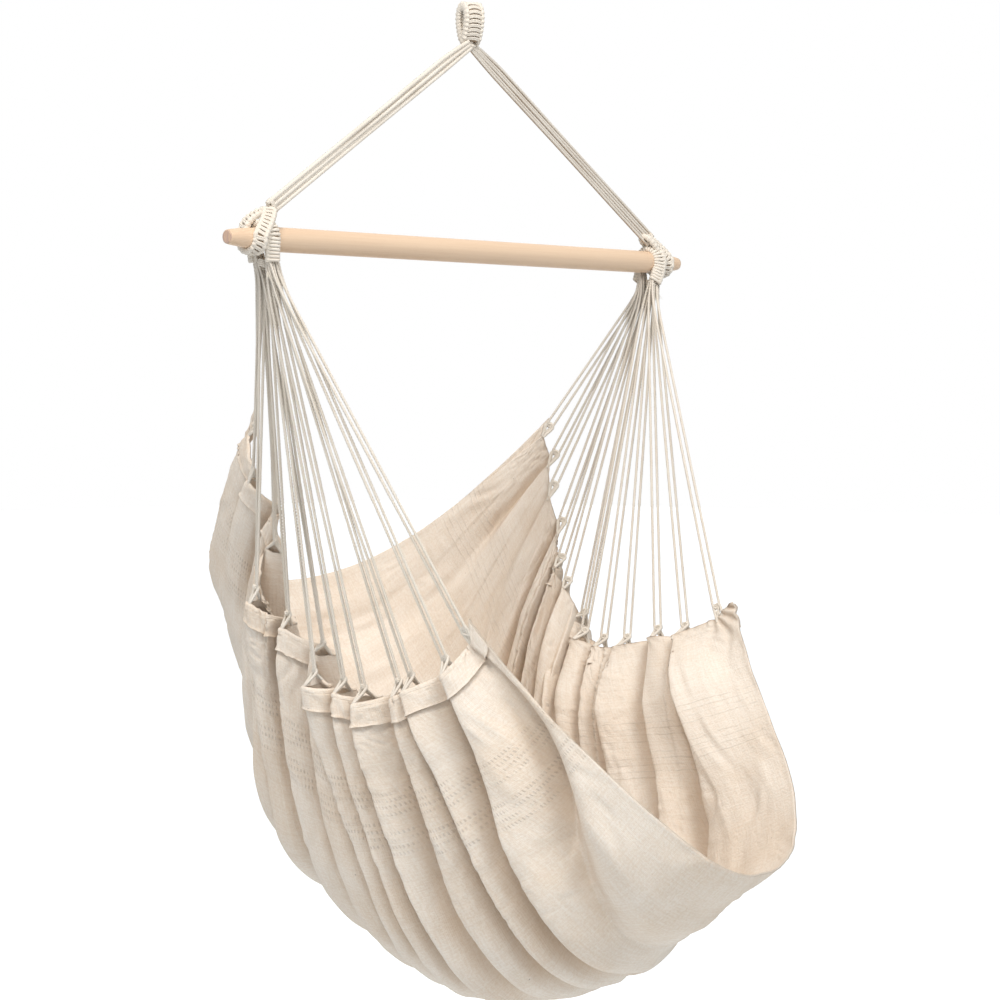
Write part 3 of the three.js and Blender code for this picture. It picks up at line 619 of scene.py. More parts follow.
class Wires:
    """Short calls for nodes and links in one tree."""

    def __init__(self, tree):
        self.tree = tree

    def node(self, kind, links=None, **settings):
        made = self.tree.nodes.new("ShaderNode" + kind)
        for key, value in settings.items():
            setattr(made, key, value)
        for key, value in (links or {}).items():
            self.put(made.inputs[key], value)
        return made

    def put(self, socket, value):
        if isinstance(value, bpy.types.NodeSocket):
            self.tree.links.new(value, socket)
        else:
            socket.default_value = value

    def math(self, operation, *values):
        made = self.node("Math", operation=operation)
        for i, value in enumerate(values):
            self.put(made.inputs[i], value)
        return made.outputs[0]

    def plus(self, a, b):
        return self.math("ADD", a, b)

    def minus(self, a, b):
        return self.math("SUBTRACT", a, b)

    def times(self, a, b):
        return self.math("MULTIPLY", a, b)

    def absolute(self, value):
        return self.math("ABSOLUTE", value)

    def mix(self, share, a, b):
        made = self.node("Mix", data_type="RGBA")
        self.put(made.inputs[0], share)
        self.put(made.inputs[6], a)
        self.put(made.inputs[7], b)
        return made.outputs[2]

    def spread(self, value, low, high, to_low=0.0, to_high=1.0):
        made = self.node("MapRange", {"Value": value, "From Min": low, "From Max": high, "To Min": to_low,
                                      "To Max": to_high}, interpolation_type="SMOOTHSTEP")
        return made.outputs[0]

    def noise(self, vector, scale, detail=2.0, roughness=0.55, stretch=None):
        if stretch:
            vector = self.node("Mapping", {"Vector": vector, "Scale": stretch}).outputs[0]
        made = self.node("TexNoise", {"Vector": vector, "Scale": scale, "Detail": detail,
                                      "Roughness": roughness})
        return made.outputs[0]


def rgba(value):
    return (*value, 1.0)


def weave_group():
    """Woven cotton: uneven threads both ways, flecks and drawn-thread rows, in cloth metres; painted shade
    darkens its folds and a painted pale tint lightens its inner side.
    """
    if "Cotton weave" in bpy.data.node_groups:
        return bpy.data.node_groups["Cotton weave"]
    tree, given, out = node_group(
        "Cotton weave",
        [("Cloth", "NodeSocketVector", None), ("Plain", "NodeSocketColor", (1, 1, 1, 1)),
         ("Deep", "NodeSocketColor", (0.8, 0.7, 0.6, 1)), ("Fleck", "NodeSocketColor", (0.2, 0.1, 0.1, 1)),
         ("Inner", "NodeSocketColor", (0.9, 0.9, 0.9, 1)), ("Painted shade", "NodeSocketColor", (0.7, 0.5, 0.4, 1)),
         ("Drawn rows", "NodeSocketFloat", 1.0)],
        [("Colour", "NodeSocketColor"), ("Height", "NodeSocketFloat")])
    w = Wires(tree)
    cloth = given.outputs["Cloth"]
    apart = w.node("SeparateXYZ", {"Vector": cloth})
    along, inside = apart.outputs[0], w.math("GREATER_THAN", apart.outputs[1], INNER_SIDE - 0.5)
    deep = w.minus(apart.outputs[1], w.times(inside, INNER_SIDE))
    slub_along = w.noise(cloth, 1.0, 3.0, 0.6, (14, 420, 1))
    slub_down = w.noise(cloth, 1.0, 3.0, 0.6, (420, 14, 1))
    patches = w.noise(cloth, 5.0, 4.0, 0.6)
    grit = w.noise(cloth, 270.0, 3.0, 0.8)
    creases = w.spread(w.absolute(w.minus(w.noise(cloth, 15.0, 3.0, 0.6), 0.5)), 0.0, 0.05, 1.0, 0.0)
    creased = w.spread(w.noise(cloth, 5.0, 1.0), 0.48, 0.62)
    weft = w.math("SINE", w.times(deep, 2 * math.pi / WEFT_PITCH))
    warp = w.math("SINE", w.times(along, 2 * math.pi / WARP_PITCH))
    # On the cloth's outer side a drawn row is a band of slots, on its inner side a wavering line.
    waver = w.times(w.minus(w.noise(cloth, 60.0, 2.0), 0.5), 0.006)
    rows = lines = None
    for start in DRAWN_ROWS:
        off = w.minus(deep, start)
        row = w.spread(w.absolute(off), 0.0018, 0.0032, 1.0, 0.0)
        line = w.spread(w.absolute(w.plus(off, waver)), 0.0005, 0.0015, 1.0, 0.0)
        rows = row if rows is None else w.math("MAXIMUM", rows, row)
        lines = line if lines is None else w.math("MAXIMUM", lines, line)
    slots = w.spread(w.math("SINE", w.times(along, 2 * math.pi / SLOT_PITCH)), 0.0, 0.8)
    ragged = w.spread(w.noise(cloth, 45.0, 2.0), 0.38, 0.58, 0.25, 1.0)
    holes = w.times(w.times(rows, slots), w.minus(1.0, inside))
    holes = w.plus(holes, w.times(w.times(lines, inside), 0.55))
    drawn = w.times(holes, w.times(ragged, given.outputs["Drawn rows"]))
    specks = w.node("TexVoronoi", {"Vector": cloth, "Scale": 55.0})
    speck = w.spread(specks.outputs["Distance"], 0.035, 0.075, 1.0, 0.0)
    rare = w.spread(w.noise(cloth, 30.0, 1.0), 0.60, 0.66)
    tone = w.plus(w.times(slub_along, 0.5), w.times(slub_down, 0.5))
    tone = w.spread(w.plus(w.times(tone, 0.50), w.times(grit, 0.50)), 0.40, 0.60)
    worn = w.plus(w.times(tone, 0.62), w.times(w.spread(patches, 0.40, 0.66), 0.40))
    base = w.mix(w.times(worn, 0.9), given.outputs["Plain"], given.outputs["Deep"])
    # Painted light: the inner side is paled a little, to offset its warm bounced light.
    base = w.mix(w.times(inside, 0.12), base, given.outputs["Inner"])
    # Painted shade: where the folds close in, the cloth is darkened towards its fold shade colour.
    fold_occlusion = w.node("AmbientOcclusion", {"Distance": 0.05}, samples=8)
    painted_shade = w.spread(fold_occlusion.outputs["AO"], 0.55, 0.97, 1.0, 0.0)
    base = w.mix(w.times(painted_shade, 0.42), base, given.outputs["Painted shade"])
    base = w.mix(w.times(w.times(speck, rare), 0.5), base, given.outputs["Fleck"])
    base = w.mix(w.times(drawn, 0.22), base, given.outputs["Fleck"])
    w.put(out.inputs["Colour"], base)
    thread = w.times(w.plus(weft, warp), 0.12)
    height = w.plus(thread, w.plus(w.times(slub_along, 0.9), w.times(slub_down, 0.9)))
    height = w.plus(height, w.times(grit, 2.4))
    height = w.plus(height, w.times(w.times(creases, creased), 0.8))
    height = w.minus(height, w.times(drawn, 1.2))
    w.put(out.inputs["Height"], height)
    return tree


def ply_group():
    """Twisted cord: plies as stripes round and along it, fibres, and painted shade between the plies and under
    a band's turns.
    """
    if "Twisted cord" in bpy.data.node_groups:
        return bpy.data.node_groups["Twisted cord"]
    tree, given, out = node_group(
        "Twisted cord",
        [("Cord", "NodeSocketVector", None), ("Plies", "NodeSocketFloat", 3.0),
         ("Stripes per metre", "NodeSocketFloat", 0.0), ("Groove", "NodeSocketFloat", 0.6),
         ("Groove width", "NodeSocketFloat", 0.5),
         ("Plain", "NodeSocketColor", (1, 1, 1, 1)),
         ("Deep", "NodeSocketColor", (0.6, 0.5, 0.4, 1)), ("Painted shade", "NodeSocketColor", (0.3, 0.2, 0.1, 1))],
        [("Colour", "NodeSocketColor"), ("Height", "NodeSocketFloat")])
    w = Wires(tree)
    apart = w.node("SeparateXYZ", {"Vector": given.outputs["Cord"]})
    turn = w.plus(w.times(apart.outputs[0], given.outputs["Plies"]),
                  w.times(apart.outputs[1], given.outputs["Stripes per metre"]))
    lobe = w.absolute(w.math("SINE", w.times(w.plus(turn, 1 / 3), math.pi)))
    place = w.node("TexCoord").outputs["Object"]
    fibre = w.noise(place, 900.0, 2.0, 0.6)
    tint = w.noise(place, 14.0, 3.0, 0.6)
    groove = w.spread(lobe, 0.0, given.outputs["Groove width"], 1.0, 0.0)
    worn = w.plus(w.times(fibre, 0.10), w.times(w.spread(tint, 0.4, 0.65), 0.12))
    base = w.mix(worn, given.outputs["Plain"], given.outputs["Deep"])
    # Painted shade between the plies, as deep as the groove setting.
    base = w.mix(w.times(groove, given.outputs["Groove"]), base, given.outputs["Deep"])
    # Painted shade on what shows between the turns of a band.
    under = w.math("GREATER_THAN", apart.outputs[0], SHADED_GAP_MARK - 0.5)
    base = w.mix(under, base, given.outputs["Painted shade"])
    w.put(out.inputs["Colour"], base)
    ridge = w.times(lobe, given.outputs["Groove"])
    w.put(out.inputs["Height"], w.plus(ridge, w.times(fibre, 0.35)))
    return tree


def new_material(name, rough):
    """A material with its plain shader, and the wires of its tree."""
    made = bpy.data.materials.new(name)
    made.use_nodes = True
    shader = made.node_tree.nodes["Principled BSDF"]
    shader.inputs["Roughness"].default_value = rough
    return made, shader, Wires(made.node_tree)


def cotton(name, group, given, bump, distance):
    """A material: one effect group into colour and bump of a plain shader."""
    if name in bpy.data.materials:
        return bpy.data.materials[name]
    made, shader, w = new_material(name, 0.95)
    effect = w.node("Group")
    effect.node_tree = group
    for key, value in given.items():
        w.put(effect.inputs[key], value)
    w.put(effect.inputs[0], w.node("UVMap", uv_map="threads").outputs[0])
    w.put(shader.inputs["Base Color"], effect.outputs["Colour"])
    height = w.node("Bump", {"Height": effect.outputs["Height"], "Strength": bump, "Distance": distance})
    w.put(shader.inputs["Normal"], height.outputs[0])
    return made


def cloth_finish():
    c = colours()
    # Among these, the fold shade is painted shade and the inner side's tint is painted light.
    given = {"Plain": rgba(c.cloth), "Deep": rgba(c.cloth_deep), "Fleck": rgba(c.fleck),
             "Inner": rgba(c.cloth_inner_light_offset), "Painted shade": rgba(c.cloth_fold_shade), "Drawn rows": 1.0}
    return cotton("Undyed cotton cloth", weave_group(), given, 0.8, 0.0006)


def cord_like(name, plies, stripes, groove, bump, deep=None, width=0.5):
    c = colours()
    # Deep also paints the shade in the grooves between plies, and the painted shade colour goes under a band's
    # turns.
    given = {"Plies": plies, "Stripes per metre": stripes, "Groove": groove, "Groove width": width,
             "Plain": rgba(c.cord), "Deep": rgba(deep or c.cord_tone_and_groove_shade), "Painted shade": rgba(c.painted_shade)}
    return cotton(name, ply_group(), given, bump, 0.0004)


def cord_finish():
    return cord_like("Twisted cotton cord", 3.0, 0.0, 0.30, 0.3)


def leg_finish(side):
    closed, open_lay = ("Laid cotton cord", 0.2, 0.4), ("Laid cotton cord, open", 1.0, 1.0)
    name, groove, width = closed if side < 0 else open_lay
    # The grooves between a leg's cords are painted in the dark shade colour; on the right leg the painted shade
    # spreads wide.
    return cord_like(name, 2.0, 0.0, groove, 0.05, colours().painted_shade, width)


def wrap_finish():
    return cord_like("Cotton wrapping", 2.0, 160.0, 0.10, 0.14)


def beech_finish():
    c = colours()
    made, shader, w = new_material("Oiled beech", 0.5)
    place = w.node("TexCoord").outputs["Object"]
    grain = w.noise(place, 1.0, 5.0, 0.6, (5, 700, 700))
    rays = w.noise(place, 1.0, 2.0, 0.5, (90, 1300, 1300))
    figure = w.noise(place, 1.0, 2.0, 0.5, (1.6, 26, 26))
    tone = w.plus(w.times(grain, 0.6), w.times(figure, 0.4))
    long_grain = w.mix(w.times(w.spread(tone, 0.36, 0.66), 0.55), rgba(c.beech), rgba(c.beech_dark))
    long_grain = w.mix(w.times(w.spread(rays, 0.60, 0.72), 0.30), long_grain, rgba(c.beech_dark))
    half = sizes().bar_length / 2
    apart = w.node("SeparateXYZ", {"Vector": place})
    tip = w.spread(w.absolute(apart.outputs[0]), half - 0.0015, half - 0.0005)
    rings = w.noise(place, 1.0, 3.0, 0.5, (1, 900, 60))
    cut = w.mix(w.spread(rings, 0.35, 0.65), rgba(c.end_grain), rgba(c.beech_dark))
    w.put(shader.inputs["Base Color"], w.mix(tip, long_grain, cut))
    bump = w.node("Bump", {"Height": w.plus(grain, rays), "Strength": 0.12, "Distance": 0.0006})
    w.put(shader.inputs["Normal"], bump.outputs[0])
    return made


# ---------------------------------------------------------------- bands, rings and the eye

class Band:
    """A flat wrapped band along a line: centre_at gives places for shares from 0 to 1, inside_at the
    point that it bends round. An open band has an end at both shares."""

    CORE_SIDES, RAIL_SIDES, TURN_SIDES = 16, 14, 26
    CORE_STEP = 0.003
    SQUARE = 0.7  # power that makes the band's section a flat one with round edges
    RAIL_WIDE = 0.0034

    def __init__(self, centre_at, inside_at, half_wide, half_thick, closed=True):
        self.centre_at, self.inside_at = centre_at, inside_at
        self.half_wide, self.half_thick = half_wide, half_thick
        self.closed = closed
        self.shares = np.linspace(0, 1, 400)
        self.arc = arc_of(centre_at(self.shares))
        self.length = self.arc[-1]

    def share_at(self, distance):
        if self.closed:
            distance = np.mod(distance, self.length)
        inner = np.interp(distance, self.arc, self.shares)
        beyond = np.minimum(distance, 0) + np.maximum(distance - self.length, 0)
        return inner + beyond * (1 / self.length)

    def frames(self, distance):
        """Places on the band's middle line, and the directions out of the band and across it."""
        share = self.share_at(distance)
        c = self.centre_at(share)
        t = unit(self.centre_at(share + 1e-3) - self.centre_at(share - 1e-3))
        out = c - self.inside_at(c)
        out = unit(out - t * np.sum(out * t, axis=-1, keepdims=True))
        return c, out, np.cross(t, out)

    def steps(self, count):
        along = np.linspace(0, self.length, count)
        return along[:-1] if self.closed else along

    def tube(self, skin, along, offset, wide, thick, uv):
        """A tube along the band, at an offset across it; wide and thick place its corners."""
        c, out, across = self.frames(along)
        centre = c + across * offset
        verts = centre[:, None] + across[:, None] * wide[..., None] + out[:, None] * thick[..., None]
        faces = tube_faces(len(along), wide.shape[1], self.closed)
        skin.add(verts, [face[::-1] for face in faces], uv)

    def core(self, skin):
        """What shows between the turns; its outer side carries the mark that has the cord material paint it in
        dark painted shade.
        """
        a = around(self.CORE_SIDES)
        along = self.steps(max(int(self.length / self.CORE_STEP), 12) + 1)
        inner = np.sin(a) < -0.01
        wide = self.half_wide * squared(np.cos(a), self.SQUARE)
        thick = (self.half_thick + 0.0022 * inner) * squared(np.sin(a), self.SQUARE)
        uv = tube_uv(len(a), along)
        uv[:, 0] = np.tile(np.where(inner, 0.0, SHADED_GAP_MARK), len(along))
        self.tube(skin, along, 0, wide[None, :], thick[None, :], uv)

    def rail(self, skin, cord, side, pitch):
        """A smooth edge that the turns run into, with a slight swelling at each turn."""
        along = self.steps(max(int(self.length / pitch * 8), 40))
        a = around(self.RAIL_SIDES)
        swell = (1 + 0.12 * np.cos(2 * np.pi * along / pitch))[:, None]
        tall = (self.half_thick + cord * 0.98) * squared(np.sin(a), 0.8)
        offset = side * (self.half_wide + cord * 0.95 - self.RAIL_WIDE)
        flat = self.RAIL_WIDE * np.cos(a)
        self.tube(skin, along, offset, swell * flat, swell * tall, tube_uv(len(a), along))

    def wrap(self, skin, at, cord, slant=0.0, bow=0.0, swell=0.0):
        """One turn of cord round the band, at a distance along it."""
        a = around(self.TURN_SIDES)
        shift = slant * np.cos(a) * np.sign(np.sin(a) + 1e-9)
        shift = shift + bow * (1 - np.abs(np.cos(a)) ** (2 * self.SQUARE))
        c, out, across = self.frames(at + shift)
        wide = (self.half_wide + cord / 2 + swell) * squared(np.cos(a), self.SQUARE)
        thick = (self.half_thick + cord / 2) * squared(np.sin(a), self.SQUARE)
        hoop(skin, c + across * wide[:, None] + out * thick[:, None], cord)

    def pairs(self, skin, cord, pitch, slant, bow, close):
        """Turns in pairs, as in buttonhole work, with a slot between one pair and the next."""
        count = int(round(self.length / pitch))
        pitch = self.length / count
        for k in range(count):
            middle = (k + 0.5) * pitch
            up = bow if middle > self.length / 2 else -bow
            for part in (-0.5, 0.5):
                self.wrap(skin, middle + part * cord * close, cord, slant, up)
        return pitch


def hoop(skin, path, diameter, sides=8):
    """A closed turn of cord."""
    tangent = unit(np.roll(path, -1, axis=0) - np.roll(path, 1, axis=0))
    n = path - path.mean(axis=0)
    n = unit(n - tangent * np.sum(n * tangent, axis=1, keepdims=True))
    b = np.cross(tangent, n)
    a = around(sides)[:, None]
    verts = path[:, None] + diameter / 2 * (np.cos(a) * n[:, None] + np.sin(a) * b[:, None])
    steps = np.linalg.norm(np.roll(path, -1, axis=0) - path, axis=1)
    arc = np.concatenate([[0], np.cumsum(steps)[:-1]])
    skin.add(verts, tube_faces(len(path), sides, closed=True), tube_uv(sides, arc))


def frayed(skin, at, direction, length, seed, strands, spread):
    """A cut end of cord whose yarns spread out."""
    random = np.random.default_rng(seed)
    direction = unit(direction)
    side = beside(direction)
    other = np.cross(direction, side)
    for _ in range(strands):
        a, b = random.normal(0, spread, 2)
        reach = length * random.uniform(0.6, 1.0)
        s = np.linspace(0, 1, 6)[:, None]
        path = at + direction * reach * s + (side * a + other * b) * reach * s ** 1.6
        path = path + Z * (-0.25 * reach) * s ** 2
        skin.add(*blended(path, 0.0011, 5, taper=np.linspace(1, 0.45, 6)))


# The eye's band, in metres: its top and height, half its depth, how much narrower it gets below,
# and half the width and thickness of the band.
EYE = dict(top=0.0061, height=0.052, half_depth=0.017, narrow=0.28, half_wide=0.011, half_thick=0.0026)
EYE_TWIST = math.radians(-18)
PIVOT = np.array([0, 0, EYE["top"] - EYE["height"] - 0.004])
WHIPPING_RADIUS = 0.0053 + 0.0013
KNOT_RADIUS = 0.0082 + 0.0013


def eye_centre(share):
    a = 2 * np.pi * np.asarray(share)
    narrow = 1 - EYE["narrow"] + EYE["narrow"] * np.cos(a)
    y = -EYE["half_depth"] * np.sin(a) * narrow
    z = EYE["top"] - EYE["height"] / 2 * (1 - np.cos(a))
    return rotate_z(np.stack([0 * y, y, z], axis=-1), EYE_TWIST)


def eye_inside(at):
    low, high = EYE["top"] - EYE["height"] * 0.7, EYE["top"] - EYE["height"] * 0.3
    inside = np.zeros_like(at)
    inside[..., 2] = np.clip(at[..., 2], low, high)
    return inside


def bar_line(at):
    """Places on the bar's axis, drawn aside because the bands lie turned, most of all behind the bar."""
    line = np.zeros_like(at)
    above = rise(at[..., 2] + sizes().bar_drop, 0, 0.012)
    line[..., 0] = at[..., 0] + 0.7 * np.maximum(-at[..., 1], 0) + 5.0 * np.maximum(at[..., 1], 0) * above
    line[..., 2] = -sizes().bar_drop
    return line


def bridle_ring_centre(side):
    """A closed band round the bar, drawn up and inward to its leg; share 0 is its top."""
    s = sizes()
    half = s.bar_length / 2

    def centre(share):
        a = 2 * np.pi * np.asarray(share)
        up = (1 + np.cos(a)) / 2
        head = np.maximum(2 * up - 1, 0)
        behind = np.sin(a) > 0
        x = half - BRIDLE_RING_INSET - BRIDLE_RING_LEAN * head ** np.where(behind, 3.0, 2.0)
        hug = bar_radius_at(x) + BRIDLE_RING_PLAY + RING_BAND
        lift = np.where(behind, np.minimum(1.9 * head, 1), head ** 2)
        top = hug + (BRIDLE_RING_RISE - hug) * lift
        return np.stack([side * x, hug * np.sin(a), -s.bar_drop + top * np.cos(a)], axis=-1)

    return centre


def seat_ring_centre(side):
    """An open band over the bar: its two ends hang before and behind it. Shares 0 and 1 are
    the ends, and a half is the top."""
    s = sizes()
    hug = seat_ring_radius()
    x = side * (s.bar_length / 2 - SEAT_RING_INSET)
    aside = side * (0.010 if side > 0 else 0.002)
    hang, bow = SEAT_RING_HANG, math.pi * hug
    total = bow + 2 * hang

    def centre(share):
        at = np.asarray(share) * total
        a = np.clip((at - hang) / hug, 0, math.pi)
        below = np.maximum(hang - at, 0) + np.maximum(at - hang - bow, 0)
        y = -hug * np.cos(a)
        y = y - np.sign(y) * 0.10 * below
        z = hug * np.sin(a) - below
        return np.stack([x - aside * (below / hang) ** 2, y, -s.bar_drop + z], axis=-1)

    return centre


# ---------------------------------------------------------------- cords of the bridle and fans

def leg_direction(side):
    return unit(PIVOT - bridle_ring_centre(side)(0.0))


def leg_path(side, k):
    """One of a leg's five cords, k from -2 to 2. On the left the even ones lie in front; on the right
    all reach down to the bar."""
    left = side < 0
    head = bridle_ring_centre(side)(0.0)
    direction = leg_direction(side)
    wide = unit(np.cross(direction, Y))
    top = np.linalg.norm(PIVOT - head) - (KNOT_RADIUS - 0.0032)
    low = 0.004 if left else -0.014
    share = np.linspace(0, 1, 60)
    along = low + (top - low) * share
    gathered = rise(share, 0.86, 0.14) ** 1.5
    spread = k * ((0.0041 if left else 0.0050) * (1 - gathered) + 0.0027 * gathered)
    back = (0.0 if k % 2 == 0 else 0.0022 if left else 0.0010) + gathered * (-0.0050 if left else 0.0030)
    back = back + 0.0007 * np.sin(2 * np.pi * (share * 1.1 + 0.61 * k + side)) * np.sin(np.pi * share)
    return head + direction * along[:, None] + wide * spread[:, None] + Y * back[:, None]


def fan_order(side):
    """The cords of a fan by the slope at which they leave the seat ring, from front to back, and
    each two neighbours by height."""
    crowns = loop_crowns(side)
    start = seat_neck_end(side)
    slope = (crowns[:, 1] - start[1]) / (start[2] - crowns[:, 2])
    order = sorted(range(len(crowns)), key=lambda i: slope[i])
    for k in range(0, len(order) - 1, 2):
        order[k:k + 2] = sorted(order[k:k + 2], key=lambda i: crowns[i][2])
    return order


def loop_frame(side, i):
    """A loop's crown, the direction of its cord, that of the hem, and the one out of the cloth."""
    hem = hem_points(side)
    even = evened(hem)
    crown = loop_crowns(side)[i]
    pull = unit(seat_neck_end(side) - crown)
    share = i / (len(hem) - 1)
    along = spline_at(even, min(share + 0.01, 1)) - spline_at(even, max(share - 0.01, 0))
    along = unit(along - pull * (along @ pull))
    out = np.cross(pull, along)
    return crown, pull, along, unit(out) * (1 if out[0] * side > 0 else -1)


# The bight in which a fan cord turns round in its loop, in metres.
BIGHT_HALF, BIGHT_OUT, BIGHT_DROP, LOOP_LIFT = 0.0052, 0.0022, 0.0066, 0.003
# Strands side by side at the neck of a seat ring: one row to the next, one column to the next.
NECK_ROW, NECK_COLUMN = 0.0054, 0.0041


def bight_reach(along, out):
    """From the middle of a bight to the strand that comes down."""
    return along * BIGHT_HALF + out * BIGHT_OUT


def fan_strand(side, i, rank, half):
    """One strand of a fan cord, from the seat ring's end down to its loop."""
    crown, pull, along, out = loop_frame(side, i)
    column, row = rank // 2, rank % 2 + 2 * half
    columns = (len(loop_crowns(side)) + 1) // 2
    off = column - (columns - 1) / 2
    top = seat_neck_end(side) + np.array([(1.5 - row) * NECK_ROW - side * 0.007, off * NECK_COLUMN, 0])
    front = -1 if off < 0 or (off == 0 and half == 0) else 1
    head = np.array([top[0] + side * 0.005, front * (seat_ring_radius() - 0.0065) + 0.20 * top[1],
                     -sizes().bar_drop - 0.010])
    foot = crown + pull * LOOP_LIFT + bight_reach(along, out) * (1 if half == 0 else -1)
    middle = head * 0.35 + top * 0.65 + Y * front * 0.002
    knee = top + (foot - top) * 0.05
    path = rounded([head, middle, knee, top + (foot - top) * 0.2], 3)
    rest = top + (foot - top) * np.linspace(0.2, 1, 24)[1:, None]
    return np.vstack([path, rest])


def fan_path(side, i, rank):
    """The whole cord of a loop: down one strand, through the loop and up the other."""
    crown, pull, along, out = loop_frame(side, i)
    down, up = fan_strand(side, i, rank, 0), fan_strand(side, i, rank, 1)
    a = np.linspace(0, math.pi, 9)[1:-1, None]
    bight = crown + pull * LOOP_LIFT + bight_reach(along, out) * np.cos(a) - pull * BIGHT_DROP * np.sin(a)
    path = np.vstack([down, bight, up[::-1]])
    return resample(path, 0.0026)


# ---------------------------------------------------------------- operators

# The folded hem, in metres: places across it from its fold, and how far it stands off the cloth.
HEM_ACROSS = (0.0, 0.0010, 0.0021, 0.0032, 0.0042, 0.0053, 0.0063, 0.0074, 0.0084, 0.0095, 0.0120,
              0.0160, 0.0200, 0.0240, 0.0280, 0.0320, 0.0350, 0.0375, 0.0390)
HEM_LIFT = ((0.0, 0.0), (0.0015, 0.0013), (0.004, 0.0018), (0.012, 0.0020), (0.036, 0.0016),
            (0.0385, 0.0026))
HEM_EDGE_LIFT = 0.0036
HEM_FOLD = 0.0012  # how far the fold reaches over the cloth's edge


class HAMMOCK_OT_seat_cloth(bpy.types.Operator):
    """Hangs the woven seat with its pleats and its two folded hems"""
    bl_idname = "hammock.seat_cloth"
    bl_label = "Seat cloth"

    def execute(self, context):
        cloth = the_cloth()
        uv = np.stack([cloth.along, cloth.from_hem], axis=-1)
        edge = np.minimum(cloth.t[-1] - cloth.t, cloth.t - cloth.t[0]) * cloth.LENGTH
        half = sizes().cloth_half + 0.0007 * fades(edge, 0.007, 4)
        seat = closed_sheet(cloth.points, cloth.normal, half, uv).piece(
            "woven_seat", cloth_finish(), "seat", "cotton_cloth", "seat_cloth")
        flaps = [self.hem(cloth, side, word) for word, side in SIDES]
        return {"FINISHED"}

    @staticmethod
    def hem(cloth, side, word):
        """The folded hem: a strip outside the cloth whose sewn edge stands off a little."""
        s = sizes()
        across = np.array(HEM_ACROSS + (s.hem_height,))
        lift = np.interp(across, *zip(*HEM_LIFT, (s.hem_height, HEM_EDGE_LIFT)))
        points = cloth.points if side < 0 else cloth.points[:, ::-1]
        normal = cloth.normal if side < 0 else cloth.normal[:, ::-1]
        distance = cloth.from_left if side < 0 else cloth.total[:, None] - cloth.from_left[:, ::-1]
        mid, face = (np.array([[np.interp(across, at, row[:, k]) for k in range(3)]
                               for at, row in zip(distance, grid)]).transpose(0, 2, 1)
                     for grid in (points, normal))
        face = unit(face)
        t = cloth.t[:, :1] if side < 0 else cloth.t[:, -1:]
        loose = 0.0006 * lattice(t * 55, across * 30, 61) + 0.0005 * lattice(t * 230, across * 60, 63)
        loose = loose + 0.0009 * np.sin(across * 2 * math.pi / 0.0042) * (across < 0.0105)
        mid = mid + face * (s.cloth_half + 0.0004 + lift + rise(across, 0, 0.02) * loose)[..., None]
        top = mid[:, :1] + (mid[:, :1] - mid[:, 1:2]) * 0.9 - face[:, :1] * HEM_FOLD
        mid = np.concatenate([top, mid], axis=1)
        face = np.concatenate([face[:, :1], face], axis=1)
        over = np.concatenate([[-HEM_FOLD], across])
        uv = np.stack(np.broadcast_arrays(t * cloth.LENGTH, 0.30 + over[None, :]), axis=-1)
        if side > 0:
            mid, face, uv = mid[:, ::-1], face[:, ::-1], uv[:, ::-1]
        return closed_sheet(mid, face, s.cloth_half, uv).piece(
            f"folded_hem_{word}", cloth_finish(), "seat", "cotton_cloth", f"hem_band_{word}")


class HAMMOCK_OT_hem_loops(bpy.types.Operator):
    """Sews a loop of three strands to the hem under each cord"""
    bl_idname = "hammock.hem_loops"
    bl_label = "Hem loops"

    def execute(self, context):
        s = sizes()
        for word, side in SIDES:
            skin = Skin()
            for i in range(len(loop_crowns(side))):
                self.loop(skin, side, i, s.loop_cord)
            skin.piece(f"hem_loops_{word}", cord_finish(), "seat", "cotton_cord", f"hem_band_{word}")
        return {"FINISHED"}

    @staticmethod
    def feet(side, i):
        """Where a loop's two feet are sewn: on the cloth, either side of it."""
        cloth = the_cloth()
        last = len(loop_crowns(side)) - 1
        rows = len(cloth.t) - 1
        back, front = cloth.BACK[side][0], cloth.FRONT[side][0]
        middle = (i / last + back) / (1 + back + front) * rows
        column = 2 if side < 0 else -3
        picked = [int(round(middle + step)) for step in (-2, 5)]
        return [cloth.points[row, column] + cloth.normal[row, column] * 0.0016 for row in picked]

    @classmethod
    def loop(cls, skin, side, i, diameter):
        """Two arches of cord, crossed, over the bight of the cord that pulls them; some are bound."""
        crown, pull, along, out = loop_frame(side, i)
        feet = cls.feet(side, i)
        arches = ((0.0011, 0.0, 1.0, 1.0), (-0.0013, -0.0018, -0.8, 0.92))
        for k, (shift, lift, wide, width) in enumerate(arches):
            a = np.linspace(0, math.pi, 7)[:, None]
            top = crown + along * (shift - 0.0062 * wide * np.cos(a))
            top = top + pull * (0.0056 * (np.sin(a) - 1) + lift + LOOP_LIFT)
            top = top + out * (0.0012 if k else -0.0012) * np.cos(a)
            ends = [foot + (crown - foot) * 0.06 * k for foot in feet]
            sunk = [end - pull * 0.004 - out * 0.0012 for end in ends]
            path = np.vstack([[sunk[0]], [ends[0]], top, [ends[1]], [sunk[1]]])
            path = resample(rounded(path, 2), 0.0014)
            skin.add(*twisted(path, diameter * width, 0.010, phase=i))
        if (i * 7 + (side > 0) * 3) % 5 in (0, 3):
            a = around(14)[:, None]
            for lift, wide in ((0.0, 0.0022), (-0.0022, 0.0025), (-0.0044, 0.0020)):
                centre = crown + pull * (0.0035 + lift) + out * 0.0042 + along * 0.0022
                hoop(skin, centre + along * wide * np.cos(a) + out * wide * np.sin(a), 0.0026, 7)


